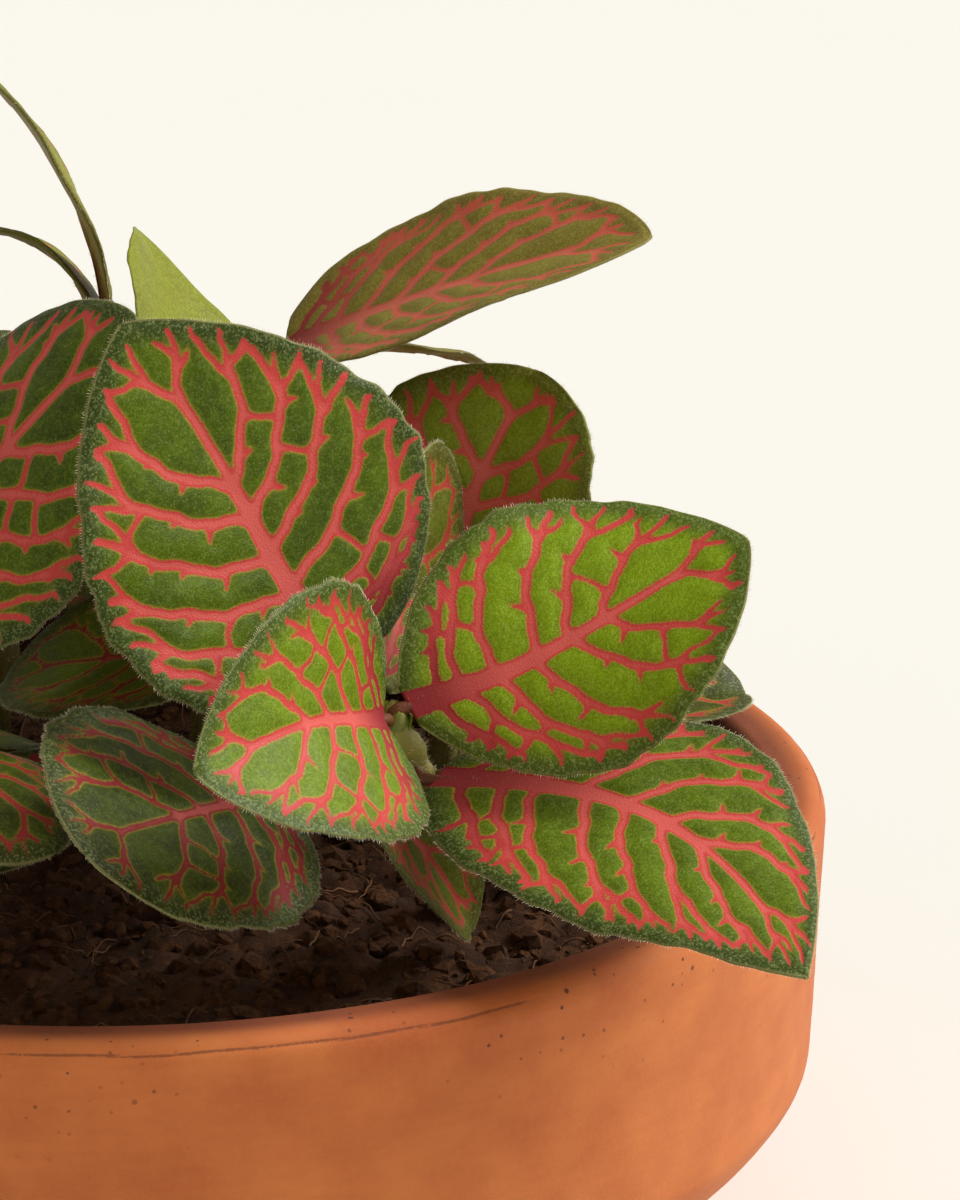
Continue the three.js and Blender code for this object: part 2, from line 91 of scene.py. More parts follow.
# Veins keep free of the margin and grow in steps. stiff sets how straight they leave and arrive. They sway
# in waves of two lengths, but are calm at their ends. A leaf has a pair of side veins for each room of its
# length. They share out the margin between first and last, uneven by a share, and the first ones are less
# bowed. Their feet end at the share foot of the length, and are at least the share apart from each other.
VEIN = dict(free=1.35, step=0.35, stiff=0.38, sway=0.026, waves=(2.6, 6.0), calm=1.2, first=0.11, last=0.9,
            foot=0.7, apart=0.066, room=5.2, uneven=0.14, bends=(0.1, 0.3, 0.42))
MIDRIB = dict(start=-1, reach=0.78, bend=0.014, bends=0.9)

# A vein with more margin than widest forks at a share of its way, and its two ends turn apart
FORK = dict(widest=6.4, shortest=7, middle=(0.42, 0.58), at=(0.36, 0.5), inner=0.5, outer=1.2)

# Each last vein has two arms, which leave at a share of its way. One that leans along the margin has both
# on its outer side. closed is the share of arms that meet a neighbour; the others stop early.
ARM = dict(leaning=0.74, lean_low=1.35, lean_middle=0.75, upright=0.62, earliest=0.6, loose=(0.75, 1.25),
           turn=0.62, closed=0.75, stop=(0.5, 0.8))

# Thin twigs on the outer side of the side veins. linked is the share of those that meet the vein before,
# where a point of it lies ahead: aim is the least cosine of the angle to it.
TWIG = dict(room=3.4, first=(0.15, 0.35), last=0.72, turn=(0.9, 1.3), linked=0.32, aim=0.8, shortest=1,
            longest=4.2, reach=(0.8, 1.7), bend=0.5, free_bend=0.6)

# One short spur for each room of the margin, from the nearest vein outwards from a centre on the midrib
SPUR = dict(room=2.2, first=0.08, last=0.97, shift=0.3, near=1.6, reach=(0.5, 1.0), centre=0.45, bend=0.4)

# A vein is as thick as the number of ends that it feeds asks for. Free ends taper, and the midrib swells at
# its foot. Forks are webbed: veins swell where others lie within web, less what one vein's own pieces add.
GIRTH = dict(many=7, power=0.28, high_power=0.33, end=0.7, taper=1.6, midrib=0.45, swell=0.38, swell_reach=4,
             web=0.12, alone=2.6)

# Each stem runs through three points. A leaf has the height of its joint on the stem, the place of its
# blade's base, its heading round +Z from +X, its pitch above level, and its roll. droop bends it down and
# twist turns it along its length, fold and cup raise its two sides, sweep bows its midrib to the left, and
# shear sets its left side nearer to the tip. grid is the spacing of its mesh, pairs the side veins left and
# right, fan how strongly their feet crowd towards the base, ink the radius of its finest veins.
# look is how bright, how bronze and how crimson it is, each from 0 to 1.
SHOOTS = (
    ("shoot_front_right", ((28.5, -10, 30), (27, -17.5, 45), (24, -33.5, 57)), (
        dict(joint=56.5, at=(24.6, -34.1, 60.3), heading=13, pitch=23, roll=61, length=31.5, width=25.5,
             droop=0, fold=0.1, cup=-0.01, twist=-42, sweep=-0.03, shear=-0.04, baseRound=0.76,
             tipRound=0.75,
             look=(1, 0, 0.1), grid=0.27, pairs=(6, 6), fan=1.2, ink=0.23),
        dict(joint=56, at=(23.4, -35.1, 59.7), heading=-103, pitch=15, roll=-70, length=29, width=22,
             droop=36, fold=0.21, cup=0.11, twist=11, sweep=-0.03, shear=0.14, baseRound=0.44,
             tipRound=0.67,
             look=(0.55, 0, 0.3), grid=0.27, pairs=(6, 6), fan=1.7, ink=0.2),
        dict(joint=54.5, at=(20.3, -29.5, 61.5), heading=195, pitch=61, roll=-60, length=35.5, width=32.5,
             droop=6, fold=0.08, cup=-0.02, twist=-17, shear=0.06, baseRound=0.51, tipRound=0.81,
             look=(0.27, 0, 0.15), grid=0.29, pairs=(7, 7), fan=1.5, ink=0.265),
        dict(joint=55, at=(26.3, -32.7, 53.8), heading=-46, pitch=-7, roll=18, length=43, width=27.5,
             droop=0, fold=0.05, cup=-0.06, twist=-13, sweep=0.18, shear=-0.3, baseRound=0.69,
             tipRound=0.97,
             look=(0.36, 0, 0.2), grid=0.29, pairs=(7, 7), fan=1.35, ink=0.245),
        dict(joint=49, at=(15, -27.9, 50.1), heading=-118, pitch=10, roll=-34, length=31.5, width=25,
             droop=0, fold=0.04, cup=-0.08, twist=-3, sweep=-0.05, baseRound=0.59, tipRound=0.64,
             look=(0.1, 0.05, 0.9), grid=0.29, pairs=(6, 6), fan=1.8, ink=0.185),
        dict(joint=51, at=(22.3, -24.5, 58.9), heading=70, pitch=42, roll=88, length=24, width=16.5,
             droop=2, fold=0.12, cup=0.02, twist=-4, shear=-0.13, tipRound=0.59,
             look=(0.25, 0.25, 0.5), grid=0.4),
        dict(joint=51, at=(21, -25.4, 51.5), heading=12, pitch=-50, roll=44, length=19, width=13, droop=22,
             fold=0.23, cup=0.13, twist=-12, shear=0.09, tipRound=0.63,
             look=(0.5, 0.3, 0.1), grid=0.36),
        dict(joint=49, at=(30.9, -25.9, 52.4), heading=30, pitch=14, roll=10, length=27, width=15.5,
             droop=21, fold=0.25, cup=0.16, twist=10, shear=0.14, baseRound=0.52, tipRound=0.53,
             look=(0.1, 0.1, 0.5), grid=0.45),
    )),
    ("shoot_right", ((33, 3, 30), (31.5, -2.5, 46), (27.5, -8.5, 60)), (
        dict(joint=58, at=(27.6, -7.5, 60.9), heading=46, pitch=65, roll=10, length=22, width=26.5,
             droop=17, fold=0.16, cup=0.07, twist=-3, shear=0.04, baseRound=0.56, tipRound=0.64,
             look=(1, 0.3, 0), grid=0.34, pairs=(5, 5), fan=1.5, ink=0.25),
        dict(joint=58, at=(22.5, -10.5, 60.5), heading=185, pitch=41, roll=-15, length=25, width=21,
             look=(0.2, 0.2, 0.5), grid=0.45),
        dict(joint=50, at=(25, -1, 52), heading=118, pitch=-7, roll=9, length=24, width=19),
        dict(joint=42, at=(35, -2, 45), heading=21, pitch=6, roll=-4, length=20, width=16),
    )),
    ("shoot_middle", ((7, -9, 30), (10, -12, 44), (13.5, -16, 57)), (
        dict(joint=55, at=(10.4, -14.4, 58.9), heading=149, pitch=-9, roll=-27, length=27, width=20.5,
             droop=17, fold=0.13, cup=0.03, twist=3, shear=-0.19, baseRound=0.49, tipRound=0.65,
             look=(0.3, 0.1, 1), grid=0.42, ink=0.15),
        dict(joint=55, at=(15, -11, 57.5), heading=72, pitch=23, roll=14, length=21, width=17),
        dict(joint=47, at=(3, -11.5, 47.5), heading=-133, pitch=-1, roll=0, length=24, width=19,
             look=(0.1, 0.1, 0.6), grid=0.42),
    )),
    ("shoot_left", ((-30, -13, 30), (-28, -14, 46), (-24, -15, 62)), (
        dict(joint=60, at=(-22.2, -15.6, 62.8), heading=0, pitch=47, roll=27, length=35.5, width=33,
             droop=3, fold=0.01, cup=-0.15, twist=7, sweep=-0.02, baseRound=0.47, tipRound=0.64,
             look=(0.2, 0, 0.15), grid=0.34, pairs=(7, 7), fan=1.5, ink=0.28),
        dict(joint=60, at=(-27, -14, 64), heading=196, pitch=35, roll=12, length=33, width=27),
        dict(joint=53, at=(-20.2, -22.6, 53.6), heading=-48, pitch=9, roll=2, length=26, width=18.5,
             droop=32, fold=-0.03, cup=-0.27, sweep=0.04, shear=-0.17, tipRound=0.65,
             look=(0.15, 0.1, 0.5), grid=0.42),
        dict(joint=53, at=(-32.5, -7.5, 55), heading=154, pitch=19, roll=10, length=30, width=24),
        dict(joint=45, at=(-35, -19, 47), heading=-124, pitch=16, roll=15, length=30, width=24),
        dict(joint=45, at=(-22, -8, 47), heading=51, pitch=-6, roll=-3, length=26, width=20),
    )),
    ("shoot_tall", ((8, 11, 30), (6, 12, 54), (9, 13, 75)), (
        dict(joint=73, at=(12.9, 13.9, 77.3), heading=-21, pitch=29, roll=22, length=37, width=24.5,
             twist=-5, shear=0.07, tipRound=0.69,
             look=(0.9, 0.75, 0), grid=0.36, pairs=(7, 7), ink=0.25),
        dict(joint=73, at=(4, 12.5, 77), heading=196, pitch=8, roll=19, length=22, width=16,
             look=(0.75, 0.2, 0.3), grid=0.42),
        dict(joint=70, at=(5.3, 18.5, 71), heading=101, pitch=42, roll=41, length=22.5, width=18,
             droop=21, fold=0.15, cup=0.05, twist=14, baseRound=0.47, tipRound=0.91,
             look=(0.9, 0.45, 0.2), grid=0.45, pairs=0),
        dict(joint=66, at=(17.6, 16, 77.3), heading=48, pitch=-7, roll=-12, length=20, width=13, droop=16,
             fold=0.02, cup=0, twist=14,
             look=(0.9, 0.7, 0.2), grid=0.45),
        dict(joint=64, at=(1, 10, 66), heading=192, pitch=15, roll=-4, length=27, width=21),
        dict(joint=50, at=(8.5, 16.5, 53), heading=83, pitch=21, roll=2, length=26, width=20),
        dict(joint=50, at=(3.5, 8.5, 55.5), heading=-129, pitch=51, roll=51, length=27, width=21),
    )),
    ("shoot_tall_left", ((-14, 22, 30), (-12, 22, 52), (-5, 22, 74)), (
        dict(joint=73.5, at=(-2.4, 22, 79.6), heading=177, pitch=81.5, roll=10.5, length=30, width=20,
             droop=44, fold=0.02, cup=0, twist=6, sweep=0.08,
             look=(1, 0.5, 0.1), ink=0.12),
        dict(joint=72, at=(-3.6, 22, 79), heading=122, pitch=51, roll=55, length=20, width=14, droop=90,
             fold=0.02, cup=0, twist=-22,
             look=(1, 0.3, 0.1), ink=0.12),
        dict(joint=69, at=(-6.5, 26, 73.5), heading=59, pitch=-7, roll=-3, length=25, width=19),
        dict(joint=60, at=(-12.5, 26.5, 63.5), heading=113, pitch=15, roll=-9, length=31, width=25),
        dict(joint=60, at=(-13, 17.5, 62.5), heading=-122, pitch=11, roll=1, length=28, width=22),
        dict(joint=46, at=(-17.8, 21.5, 46.6), heading=165, pitch=-7, roll=-2, length=30, width=24),
    )),
    ("shoot_far_left", ((-38, 14, 30), (-40, 14, 45), (-42, 15, 58)), (
        dict(joint=57, at=(-44, 17, 60), heading=150, pitch=35, roll=0, length=28, width=22),
        dict(joint=57, at=(-41, 12, 60), heading=-40, pitch=40, roll=4, length=27, width=21),
        dict(joint=50, at=(-46, 11, 52), heading=-141, pitch=6, roll=-13, length=31, width=25),
        dict(joint=50, at=(-36, 18, 52), heading=43, pitch=13, roll=-5, length=28, width=22),
        dict(joint=42, at=(-44, 17, 45), heading=160, pitch=5, roll=0, length=30, width=24),
    )),
    ("shoot_back_right", ((27, 24, 30), (28, 25, 42), (29, 25, 55)), (
        dict(joint=54, at=(32, 24, 57), heading=-35, pitch=17, roll=-5, length=21, width=17),
        dict(joint=54, at=(26, 27, 57), heading=160, pitch=30, roll=0, length=25, width=20),
        dict(joint=48, at=(31, 30, 50), heading=77, pitch=6, roll=-8, length=30, width=24),
        dict(joint=48, at=(25, 20, 50), heading=-103, pitch=23, roll=-5, length=25, width=19),
        dict(joint=41, at=(33, 23, 44), heading=-22, pitch=12, roll=2, length=21, width=17),
    )),
    ("shoot_back_left", ((-24, 38, 30), (-25, 39, 43), (-27, 41, 55)), (
        dict(joint=54, at=(-30, 42.5, 56.5), heading=161, pitch=35, roll=-2, length=27, width=21),
        dict(joint=54, at=(-24, 41, 58), heading=1, pitch=26, roll=11, length=26, width=21),
        dict(joint=47, at=(-26, 45, 49), heading=95, pitch=12, roll=0, length=31, width=25),
        dict(joint=47, at=(-28, 35, 49), heading=-90, pitch=7, roll=13, length=27, width=21),
    )),
    ("shoot_back", ((6, 40, 30), (6, 42, 42), (7, 44, 54)), (
        dict(joint=53, at=(11, 45, 56), heading=37, pitch=4, roll=-1, length=26, width=20),
        dict(joint=53, at=(4.5, 43, 55), heading=183, pitch=14, roll=-1, length=24, width=19),
        dict(joint=46, at=(6, 48, 48), heading=100, pitch=10, roll=0, length=31, width=25),
        dict(joint=46, at=(9, 38, 48), heading=-70, pitch=12, roll=0, length=24, width=19),
    )),
    ("shoot_low_left", ((-44, -14, 30), (-46, -15, 41), (-48, -17, 50)), (
        dict(joint=49, at=(-50, -21, 51), heading=-115, pitch=18, roll=0, length=26, width=20),
        dict(joint=49, at=(-51, -14, 52), heading=155, pitch=22, roll=0, length=27, width=21),
        dict(joint=42, at=(-42, -22, 44), heading=-70, pitch=15, roll=0, length=26, width=20),
    )),
)


# Small helpers for numbers

def smooth(low, high, value):
    share = np.clip((value - low) / (high - low), 0, 1)
    return share * share * (3 - 2 * share)


def unit(vectors):
    return vectors / np.maximum(np.linalg.norm(vectors, axis=-1, keepdims=True), 1e-9)


def bezier(share, points):
    """A point at each share of the quadratic or cubic curve through its control points"""
    points = [np.asarray(point, float) for point in points]
    share = np.asarray(share, float)[:, None]
    while len(points) > 1:
        points = [a + (b - a) * share for a, b in zip(points, points[1:])]
    return points[0]


def ripple(x, y, size, seed):
    """Soft uneven waves of about the given size, between -1 and 1"""
    draws = np.random.default_rng(seed)
    total = np.zeros(np.broadcast(x, y).shape)
    for _ in range(6):
        heading = draws.uniform(0, 2 * math.pi)
        pace = 2 * math.pi / (size * draws.uniform(0.7, 1.6))
        total += np.sin((x * math.cos(heading) + y * math.sin(heading)) * pace + draws.uniform(0, 6.3))
    return total / 6


def turned(way, angle):
    """A flat direction turned to the left by an angle in radians"""
    along, across = math.cos(angle), math.sin(angle)
    return np.array([way[0] * along - way[1] * across, way[0] * across + way[1] * along])


def ring_turns(sides):
    """Angles of points spread evenly round a ring"""
    return np.arange(sides) * 2 * math.pi / sides


# Small helpers for meshes

def link(name, mesh):
    piece = bpy.data.objects.new(name, mesh)
    bpy.context.scene.collection.objects.link(piece)
    return piece


def new_piece(name, points, faces, edges=(), material=None, marks=None):
    """A smooth mesh in metres from points in millimetres, with named numbers at its points"""
    mesh = bpy.data.meshes.new(name)
    mesh.from_pydata((np.asarray(points) * MM).tolist(), list(edges), faces)
    for mark, values in (marks or {}).items():
        values = np.asarray(values, np.float32)
        kind, field = ("FLOAT_VECTOR", "vector") if values.ndim == 2 else ("FLOAT", "value")
        mesh.attributes.new(mark, kind, "POINT").data.foreach_set(field, values.ravel())
    if faces:
        mesh.polygons.foreach_set("use_smooth", np.ones(len(faces), bool))
    if material:
        mesh.materials.append(material)
    mesh.update()
    return link(name, mesh)


class Shell:
    """Gathers points, faces and marks of several parts that end in one mesh"""

    def __init__(self):
        self.points = []
        self.faces = []
        self.marks = {}
        self.count = 0

    def add(self, points, faces, **marks):
        self.points.append(np.asarray(points, float))
        self.faces.extend(tuple(corner + self.count for corner in face) for face in faces)
        for mark, values in marks.items():
            values = np.asarray(values, float)
            if values.ndim == 0 or mark == "look":
                values = np.broadcast_to(values, (len(points),) + values.shape)
            self.marks.setdefault(mark, []).append(values)
        self.count += len(points)

    def piece(self, name, material):
        marks = {mark: np.concatenate(values) for mark, values in self.marks.items()}
        return new_piece(name, np.concatenate(self.points), self.faces, material=material, marks=marks)


def ring_faces(rings, sides, closed_ends=True):
    """Faces of a tube of rings, which are numbered one after another; they point outwards"""
    faces = []
    for i in range(rings - 1):
        for j in range(sides):
            a = i * sides + j
            b = i * sides + (j + 1) % sides
            faces.append((a, b, b + sides, a + sides))
    if closed_ends:
        last = (rings - 1) * sides
        faces.append(tuple(range(sides - 1, -1, -1)))
        faces.append(tuple(range(last, last + sides)))
    return faces


def tube(path, radii, sides, flat=1.0):
    """Rings round a path of points"""
    path = np.asarray(path, float)
    ahead = unit(np.gradient(path, axis=0))
    side = unit(np.cross(ahead, [0.31, 0.95, 0.12]))
    for i in range(1, len(path)):
        side[i] = side[i - 1] - ahead[i] * (side[i - 1] @ ahead[i])
        side[i] /= np.linalg.norm(side[i])
    top = np.cross(ahead, side)
    turn = ring_turns(sides)
    reach = np.asarray(radii, float)[:, None, None]
    ring = np.cos(turn)[None, :, None] * side[:, None] + flat * np.sin(turn)[None, :, None] * top[:, None]
    return (path[:, None] + reach * ring).reshape(-1, 3), ring_faces(len(path), sides)


# Leaves: the same curved blade as in the frame, for whole arrays of u (base to tip) and v (right to left)

def leaf_axes(leaf):
    heading, pitch, roll = (math.radians(leaf[key]) for key in ("heading", "pitch", "roll"))
    flat = math.cos(pitch)
    along = np.array([flat * math.cos(heading), flat * math.sin(heading), math.sin(pitch)])
    level = np.array([-math.sin(heading), math.cos(heading), 0])
    upright = np.cross(along, level)
    left = level * math.cos(roll) + upright * math.sin(roll)
    up = upright * math.cos(roll) - level * math.sin(roll)
    return along, left, up


def half_width(leaf, u):
    base, tip = leaf["baseRound"], leaf["tipRound"]
    widest = base / (base + tip)
    u = np.clip(u, 0, 1)
    blade = leaf["width"] / 2 * u ** base * (1 - u) ** tip / (widest ** base * (1 - widest) ** tip)
    return np.maximum(blade, BLADE["foot_width"] * (1 - u) + BLADE["tip_width"] * u)


def blade_points(leaf, u, v):
    """Points of the blade's middle surface, and the directions that point up, left and along there"""
    along, left, up = leaf_axes(leaf)
    u = np.asarray(u, float)[..., None]
    v = np.asarray(v, float)[..., None]
    droop = math.radians(leaf["droop"]) or 1e-4
    length = leaf["length"]
    bend = droop * u
    place = leaf["at"] + along * np.sin(bend) / droop * length - up * (1 - np.cos(bend)) / droop * length
    up_here = up * np.cos(bend) + along * np.sin(bend)
    along_here = along * np.cos(bend) - up * np.sin(bend)
    turn = math.radians(leaf["twist"]) * u
    left_here = left * np.cos(turn) + up_here * np.sin(turn)
    normal = up_here * np.cos(turn) - left * np.sin(turn)
    half = half_width(leaf, u)
    fold, cup = leaf["fold"], leaf["cup"]
    slope = 0.9 * fold + cup * abs(v)
    rise = fold * (np.hypot(v, 0.1) - 0.1) + cup * v * v
    phase = 2 * math.pi * (BLADE["waves"] * u + leaf["heading"] / 360) + 1.3 * np.sign(v)
    wave = BLADE["wave"] * leaf["width"] / 2 * np.sin(phase) * abs(v) ** 3 * np.sin(math.pi * u)
    place = place + left_here * (leaf["sweep"] * length * 4 * u * (1 - u) + half * v / np.hypot(1, slope))
    place = place + normal * (half * rise + wave) + along_here * leaf["shear"] * half * v
    return place, normal, left_here, along_here


# Veins: a midrib, side veins that bow towards the tip and fork to share out the margin, twigs that link
# them, and short free spurs. They are grown in the flattened leaf: x runs along the midrib, y to its left.

class Veins:
    """Points of all veins, and for each the number of the point it grew from"""

    def __init__(self, leaf, seed):
        self.leaf = leaf
        self.draws = np.random.default_rng(seed)
        self.points = []
        self.parents = []
        self.joined = set()
        self.rim = self.inset_rim(VEIN["free"])
        steps = np.linalg.norm(np.diff(self.rim, axis=0), axis=1)
        self.run = np.concatenate([[0], np.cumsum(steps)])

    def inset_rim(self, inside):
        """The line that the left side's veins end on, from the leaf's base to its tip"""
        length = self.leaf["length"]
        u = np.linspace(0.02, 0.985, 120)
        half = half_width(self.leaf, u)
        slope = np.gradient(half, u * length)
        size = np.hypot(slope, 1)
        x = np.clip(u * length + inside * slope / size, 0.5, length - 1.2 * inside)
        return np.stack([x, np.maximum(half - inside / size, 0.05)], 1)

    def rim_spot(self, share, side):
        at = min(max(share, 0), 1) * self.run[-1]
        x, y = (np.interp(at, self.run, self.rim[:, way]) for way in (0, 1))
        return np.array([x, side * y])

    def add(self, line, parent):
        numbers = []
        for point in line:
            self.points.append(point)
            self.parents.append(parent)
            parent = len(self.points) - 1
            numbers.append(parent)
        return numbers

    def bow(self, at, end, side, bend, heading=None, stop=1.0):
        """A vein from a point of another to an end; it leaves outwards or on a heading and bends tipwards"""
        start = self.points[at]
        out = end - start
        span = math.hypot(*out)
        leave = turned(out, side * bend) if heading is None else heading * span
        arrive = turned(out, -0.8 * side * bend)
        steps = max(int(1.05 * span / VEIN["step"]), 2)
        share = np.linspace(0, 1, steps + 1)[1:]
        line = bezier(share, (start, start + leave * VEIN["stiff"], end - arrive * VEIN["stiff"], end))
        waves = np.zeros(steps)
        for size in VEIN["waves"]:
            waves += size * np.sin(span * share * 2 * math.pi / size + self.draws.uniform(0, 6.3))
        fade = np.minimum(1, np.minimum(share, 1 - share) * span / VEIN["calm"])
        across = np.array([-out[1], out[0]]) / max(span, 1e-6)
        line = line + (VEIN["sway"] * waves * fade)[:, None] * across
        return self.add(line[:max(int(stop * steps), 1)], at)

    def spot_on(self, line, share):
        return line[max(min(int(share * len(line)), len(line) - 1), 0)]

    def heading(self, line, share):
        at = self.spot_on(line, share)
        before = at
        for _ in range(3):
            before = max(self.parents[before], 0)
        return unit(self.points[at] - self.points[before])

    def grow_main(self):
        length = self.leaf["length"]
        x = np.arange(MIDRIB["start"], MIDRIB["reach"] * length, VEIN["step"])
        bent = np.sin(2 * math.pi * (MIDRIB["bends"] * x / length + self.draws.random()))
        bent = MIDRIB["bend"] * length * bent * np.clip(3 * x / length, 0, 1)
        return self.add(np.stack([x, bent], 1), -1)

    def grow_side(self, main, side, count):
        """Side veins share out the margin from the leaf's base to its tip"""
        length = self.leaf["length"]
        middle = np.array([self.points[number] for number in main])
        borders = np.linspace(VEIN["first"], VEIN["last"], count + 1)
        borders[1:-1] += self.draws.uniform(-VEIN["uneven"], VEIN["uneven"], count - 1) / count
        foot_x, earlier = 0, None
        for i in range(count):
            goal = self.rim_spot((borders[i] + borders[i + 1]) / 2, side)
            wanted = VEIN["foot"] * length * (goal[0] / length) ** self.leaf["fan"]
            foot_x = max(wanted, foot_x + VEIN["apart"] * length * min(i, 1), 0.3)
            foot = main[int(np.argmin(abs(middle[:, 0] - foot_x)))]
            line = self.grow_fan(foot, borders[i], borders[i + 1], side, None, VEIN["bends"][min(i, 2)])
            if earlier:
                self.grow_twigs(line, earlier, side)
            earlier = line
        return borders[-1]

    def grow_fan(self, at, low, high, side, heading, bend=0.15):
        """A vein that forks until each of its ends has a few millimetres of margin; neighbours meet there"""
        draws = self.draws
        width = (high - low) * self.run[-1]
        middle = low + (high - low) * draws.uniform(*FORK["middle"])
        goal = self.rim_spot(middle, side)
        span = math.dist(goal, self.points[at])
        if width > FORK["widest"] and span > FORK["shortest"]:
            line = self.bow(at, goal, side, bend, heading, draws.uniform(*FORK["at"]))
            ahead = self.heading(line, 1)
            for start, end, way in ((middle, high, FORK["inner"]), (low, middle, FORK["outer"])):
                self.grow_fan(line[-1], start, end, side, unit(ahead + 0.5 * turned(ahead, side * way)))
            return line
        rim_way = unit(self.rim_spot(high, side) - self.rim_spot(low, side))
        if unit(goal - self.points[at]) @ rim_way > ARM["leaning"]:
            goal = self.rim_spot(high, side)
            span = math.dist(goal, self.points[at])
            arms = ((low, 1, ARM["lean_low"]), (middle, 1, ARM["lean_middle"]))
        else:
            arms = ((high, -1, ARM["upright"]), (low, 1, ARM["upright"]))
        line = self.bow(at, goal, side, bend, heading)
        for border, way, reach in arms:
            fork = 1 - min(reach * width / span, ARM["earliest"]) * draws.uniform(*ARM["loose"])
            leave = turned(self.heading(line, fork), side * way * ARM["turn"])
            closed = draws.random() < ARM["closed"]
            stop = 1 if closed else draws.uniform(*ARM["stop"])
            arm = self.bow(self.spot_on(line, fork), self.rim_spot(border, side), side, 0, leave, stop)
            if closed and border != middle:
                self.joined.add(arm[-1])
        return line

    def grow_twigs(self, line, earlier, side):
        """Thin twigs on the outer side; some reach the vein before"""
        draws = self.draws
        span = len(line) * VEIN["step"]
        targets = np.array(self.points)[earlier]
        for share in np.arange(draws.uniform(*TWIG["first"]), TWIG["last"], TWIG["room"] / span):
            at = self.spot_on(line, share)
            out = turned(self.heading(line, share), side * draws.uniform(*TWIG["turn"]))
            gaps = targets - self.points[at]
            far = np.linalg.norm(gaps, axis=1)
            fit = (gaps @ out > TWIG["aim"] * far) & (far > TWIG["shortest"]) & (far < TWIG["longest"])
            if fit.any() and draws.random() < TWIG["linked"]:
                goal = targets[int(np.where(fit, far, np.inf).argmin())]
                twig = self.bow(at, goal, side, draws.uniform(-TWIG["bend"], TWIG["bend"]))
                self.joined.add(twig[-1])
            else:
                goal = self.points[at] + draws.uniform(*TWIG["reach"]) * out
                self.bow(at, goal, side, draws.uniform(-TWIG["free_bend"], TWIG["free_bend"]))

    def grow_tip(self, main, side, border):
        """The end of the midrib forks like a side vein"""
        self.grow_fan(main[-1], border, 1.0, side, turned(np.array([1.0, 0]), side * 0.35))

    def grow_spurs(self):
        """Short spurs on the outer corners point at the margin"""
        room = SPUR["room"] / self.run[-1]
        for side in (1, -1):
            for share in np.arange(SPUR["first"], SPUR["last"], room):
                shift = self.draws.uniform(-SPUR["shift"], SPUR["shift"])
                spot = self.rim_spot(share + shift * room, side)
                gaps = np.linalg.norm(np.array(self.points) - spot, axis=1)
                at = int(gaps.argmin())
                if gaps[at] < SPUR["near"]:
                    out = unit(spot - np.array([SPUR["centre"] * self.leaf["length"], 0]))
                    goal = self.points[at] + self.draws.uniform(*SPUR["reach"]) * out
                    self.bow(at, goal, side, self.draws.uniform(-SPUR["bend"], SPUR["bend"]))

    def segments(self, ink):
        """Start, end and radii of every piece of vein; a vein is as thick as all that it feeds needs"""
        points = np.array(self.points)
        parents = np.array(self.parents)
        children = np.bincount(parents[parents >= 0], minlength=len(parents))
        load = np.where(children == 0, 1.0, 0.0)
        to_end = np.where(children == 0, 0.0, math.inf)
        to_end[list(self.joined)] = math.inf
        for i in range(len(parents) - 1, 0, -1):
            parent = parents[i]
            load[parent] += load[i]
            to_end[parent] = min(to_end[parent], to_end[i] + math.dist(points[i], points[parent]))
        many, end = GIRTH["many"], GIRTH["end"]
        radius = ink * np.minimum(load, many) ** GIRTH["power"]
        radius *= (np.maximum(load, many) / many) ** GIRTH["high_power"]
        radius *= end + (1 - end) * np.minimum(to_end / GIRTH["taper"], 1)
        main = load > GIRTH["midrib"] * load[0]
        radius[main] *= 1 + GIRTH["swell"] * np.exp(-np.maximum(points[main, 0], 0) / GIRTH["swell_reach"])
        for _ in range(3):
            before = radius[np.maximum(parents, 0)]
            radius = np.where(parents >= 0, (radius + np.minimum(before, 1.25 * radius)) / 2, radius)
        child = np.nonzero(parents >= 0)[0]
        parent = parents[child]
        return points[parent], points[child], np.minimum(radius[parent], 1.35 * radius[child]), radius[child]


def grow_veins(leaf, seed):
    veins = Veins(leaf, seed)
    main = veins.grow_main()
    count = max(round(leaf["length"] / VEIN["room"]), 3)
    for side, pairs in zip((1, -1), leaf["pairs"] or (count, count)):
        border = veins.grow_side(main, side, pairs)
        veins.grow_tip(main, side, border)
    veins.grow_spurs()
    return veins.segments(leaf["ink"])


def vein_field(x, y, veins, batch=4000):
    """Distance from each spot to the edge of the nearest vein, less than 0 inside it, and its radius"""
    start, end, start_radius, end_radius = (part.astype(np.float32) for part in veins)
    run = end - start
    size = np.maximum((run * run).sum(1), 1e-9)
    distance, radius = np.empty(len(x)), np.empty(len(x))
    for first in range(0, len(x), batch):
        part = slice(first, first + batch)
        dx = x[part, None].astype(np.float32) - start[:, 0]
        dy = y[part, None].astype(np.float32) - start[:, 1]
        share = np.clip((dx * run[:, 0] + dy * run[:, 1]) / size, 0, 1)
        thick = start_radius + (end_radius - start_radius) * share
        gap = np.hypot(dx - share * run[:, 0], dy - share * run[:, 1]) - thick
        nearest = gap.argmin(1)
        rows = np.arange(len(nearest))
        least = gap[rows, nearest]
        crowd = np.exp((least[:, None] - gap) / GIRTH["web"]).sum(1)
        distance[part] = least - GIRTH["web"] * np.log(crowd / GIRTH["alone"])
        radius[part] = thick[rows, nearest]
    return distance, radius


# Leaf meshes: a fine grid above, a coarser one below, and one rim that both share

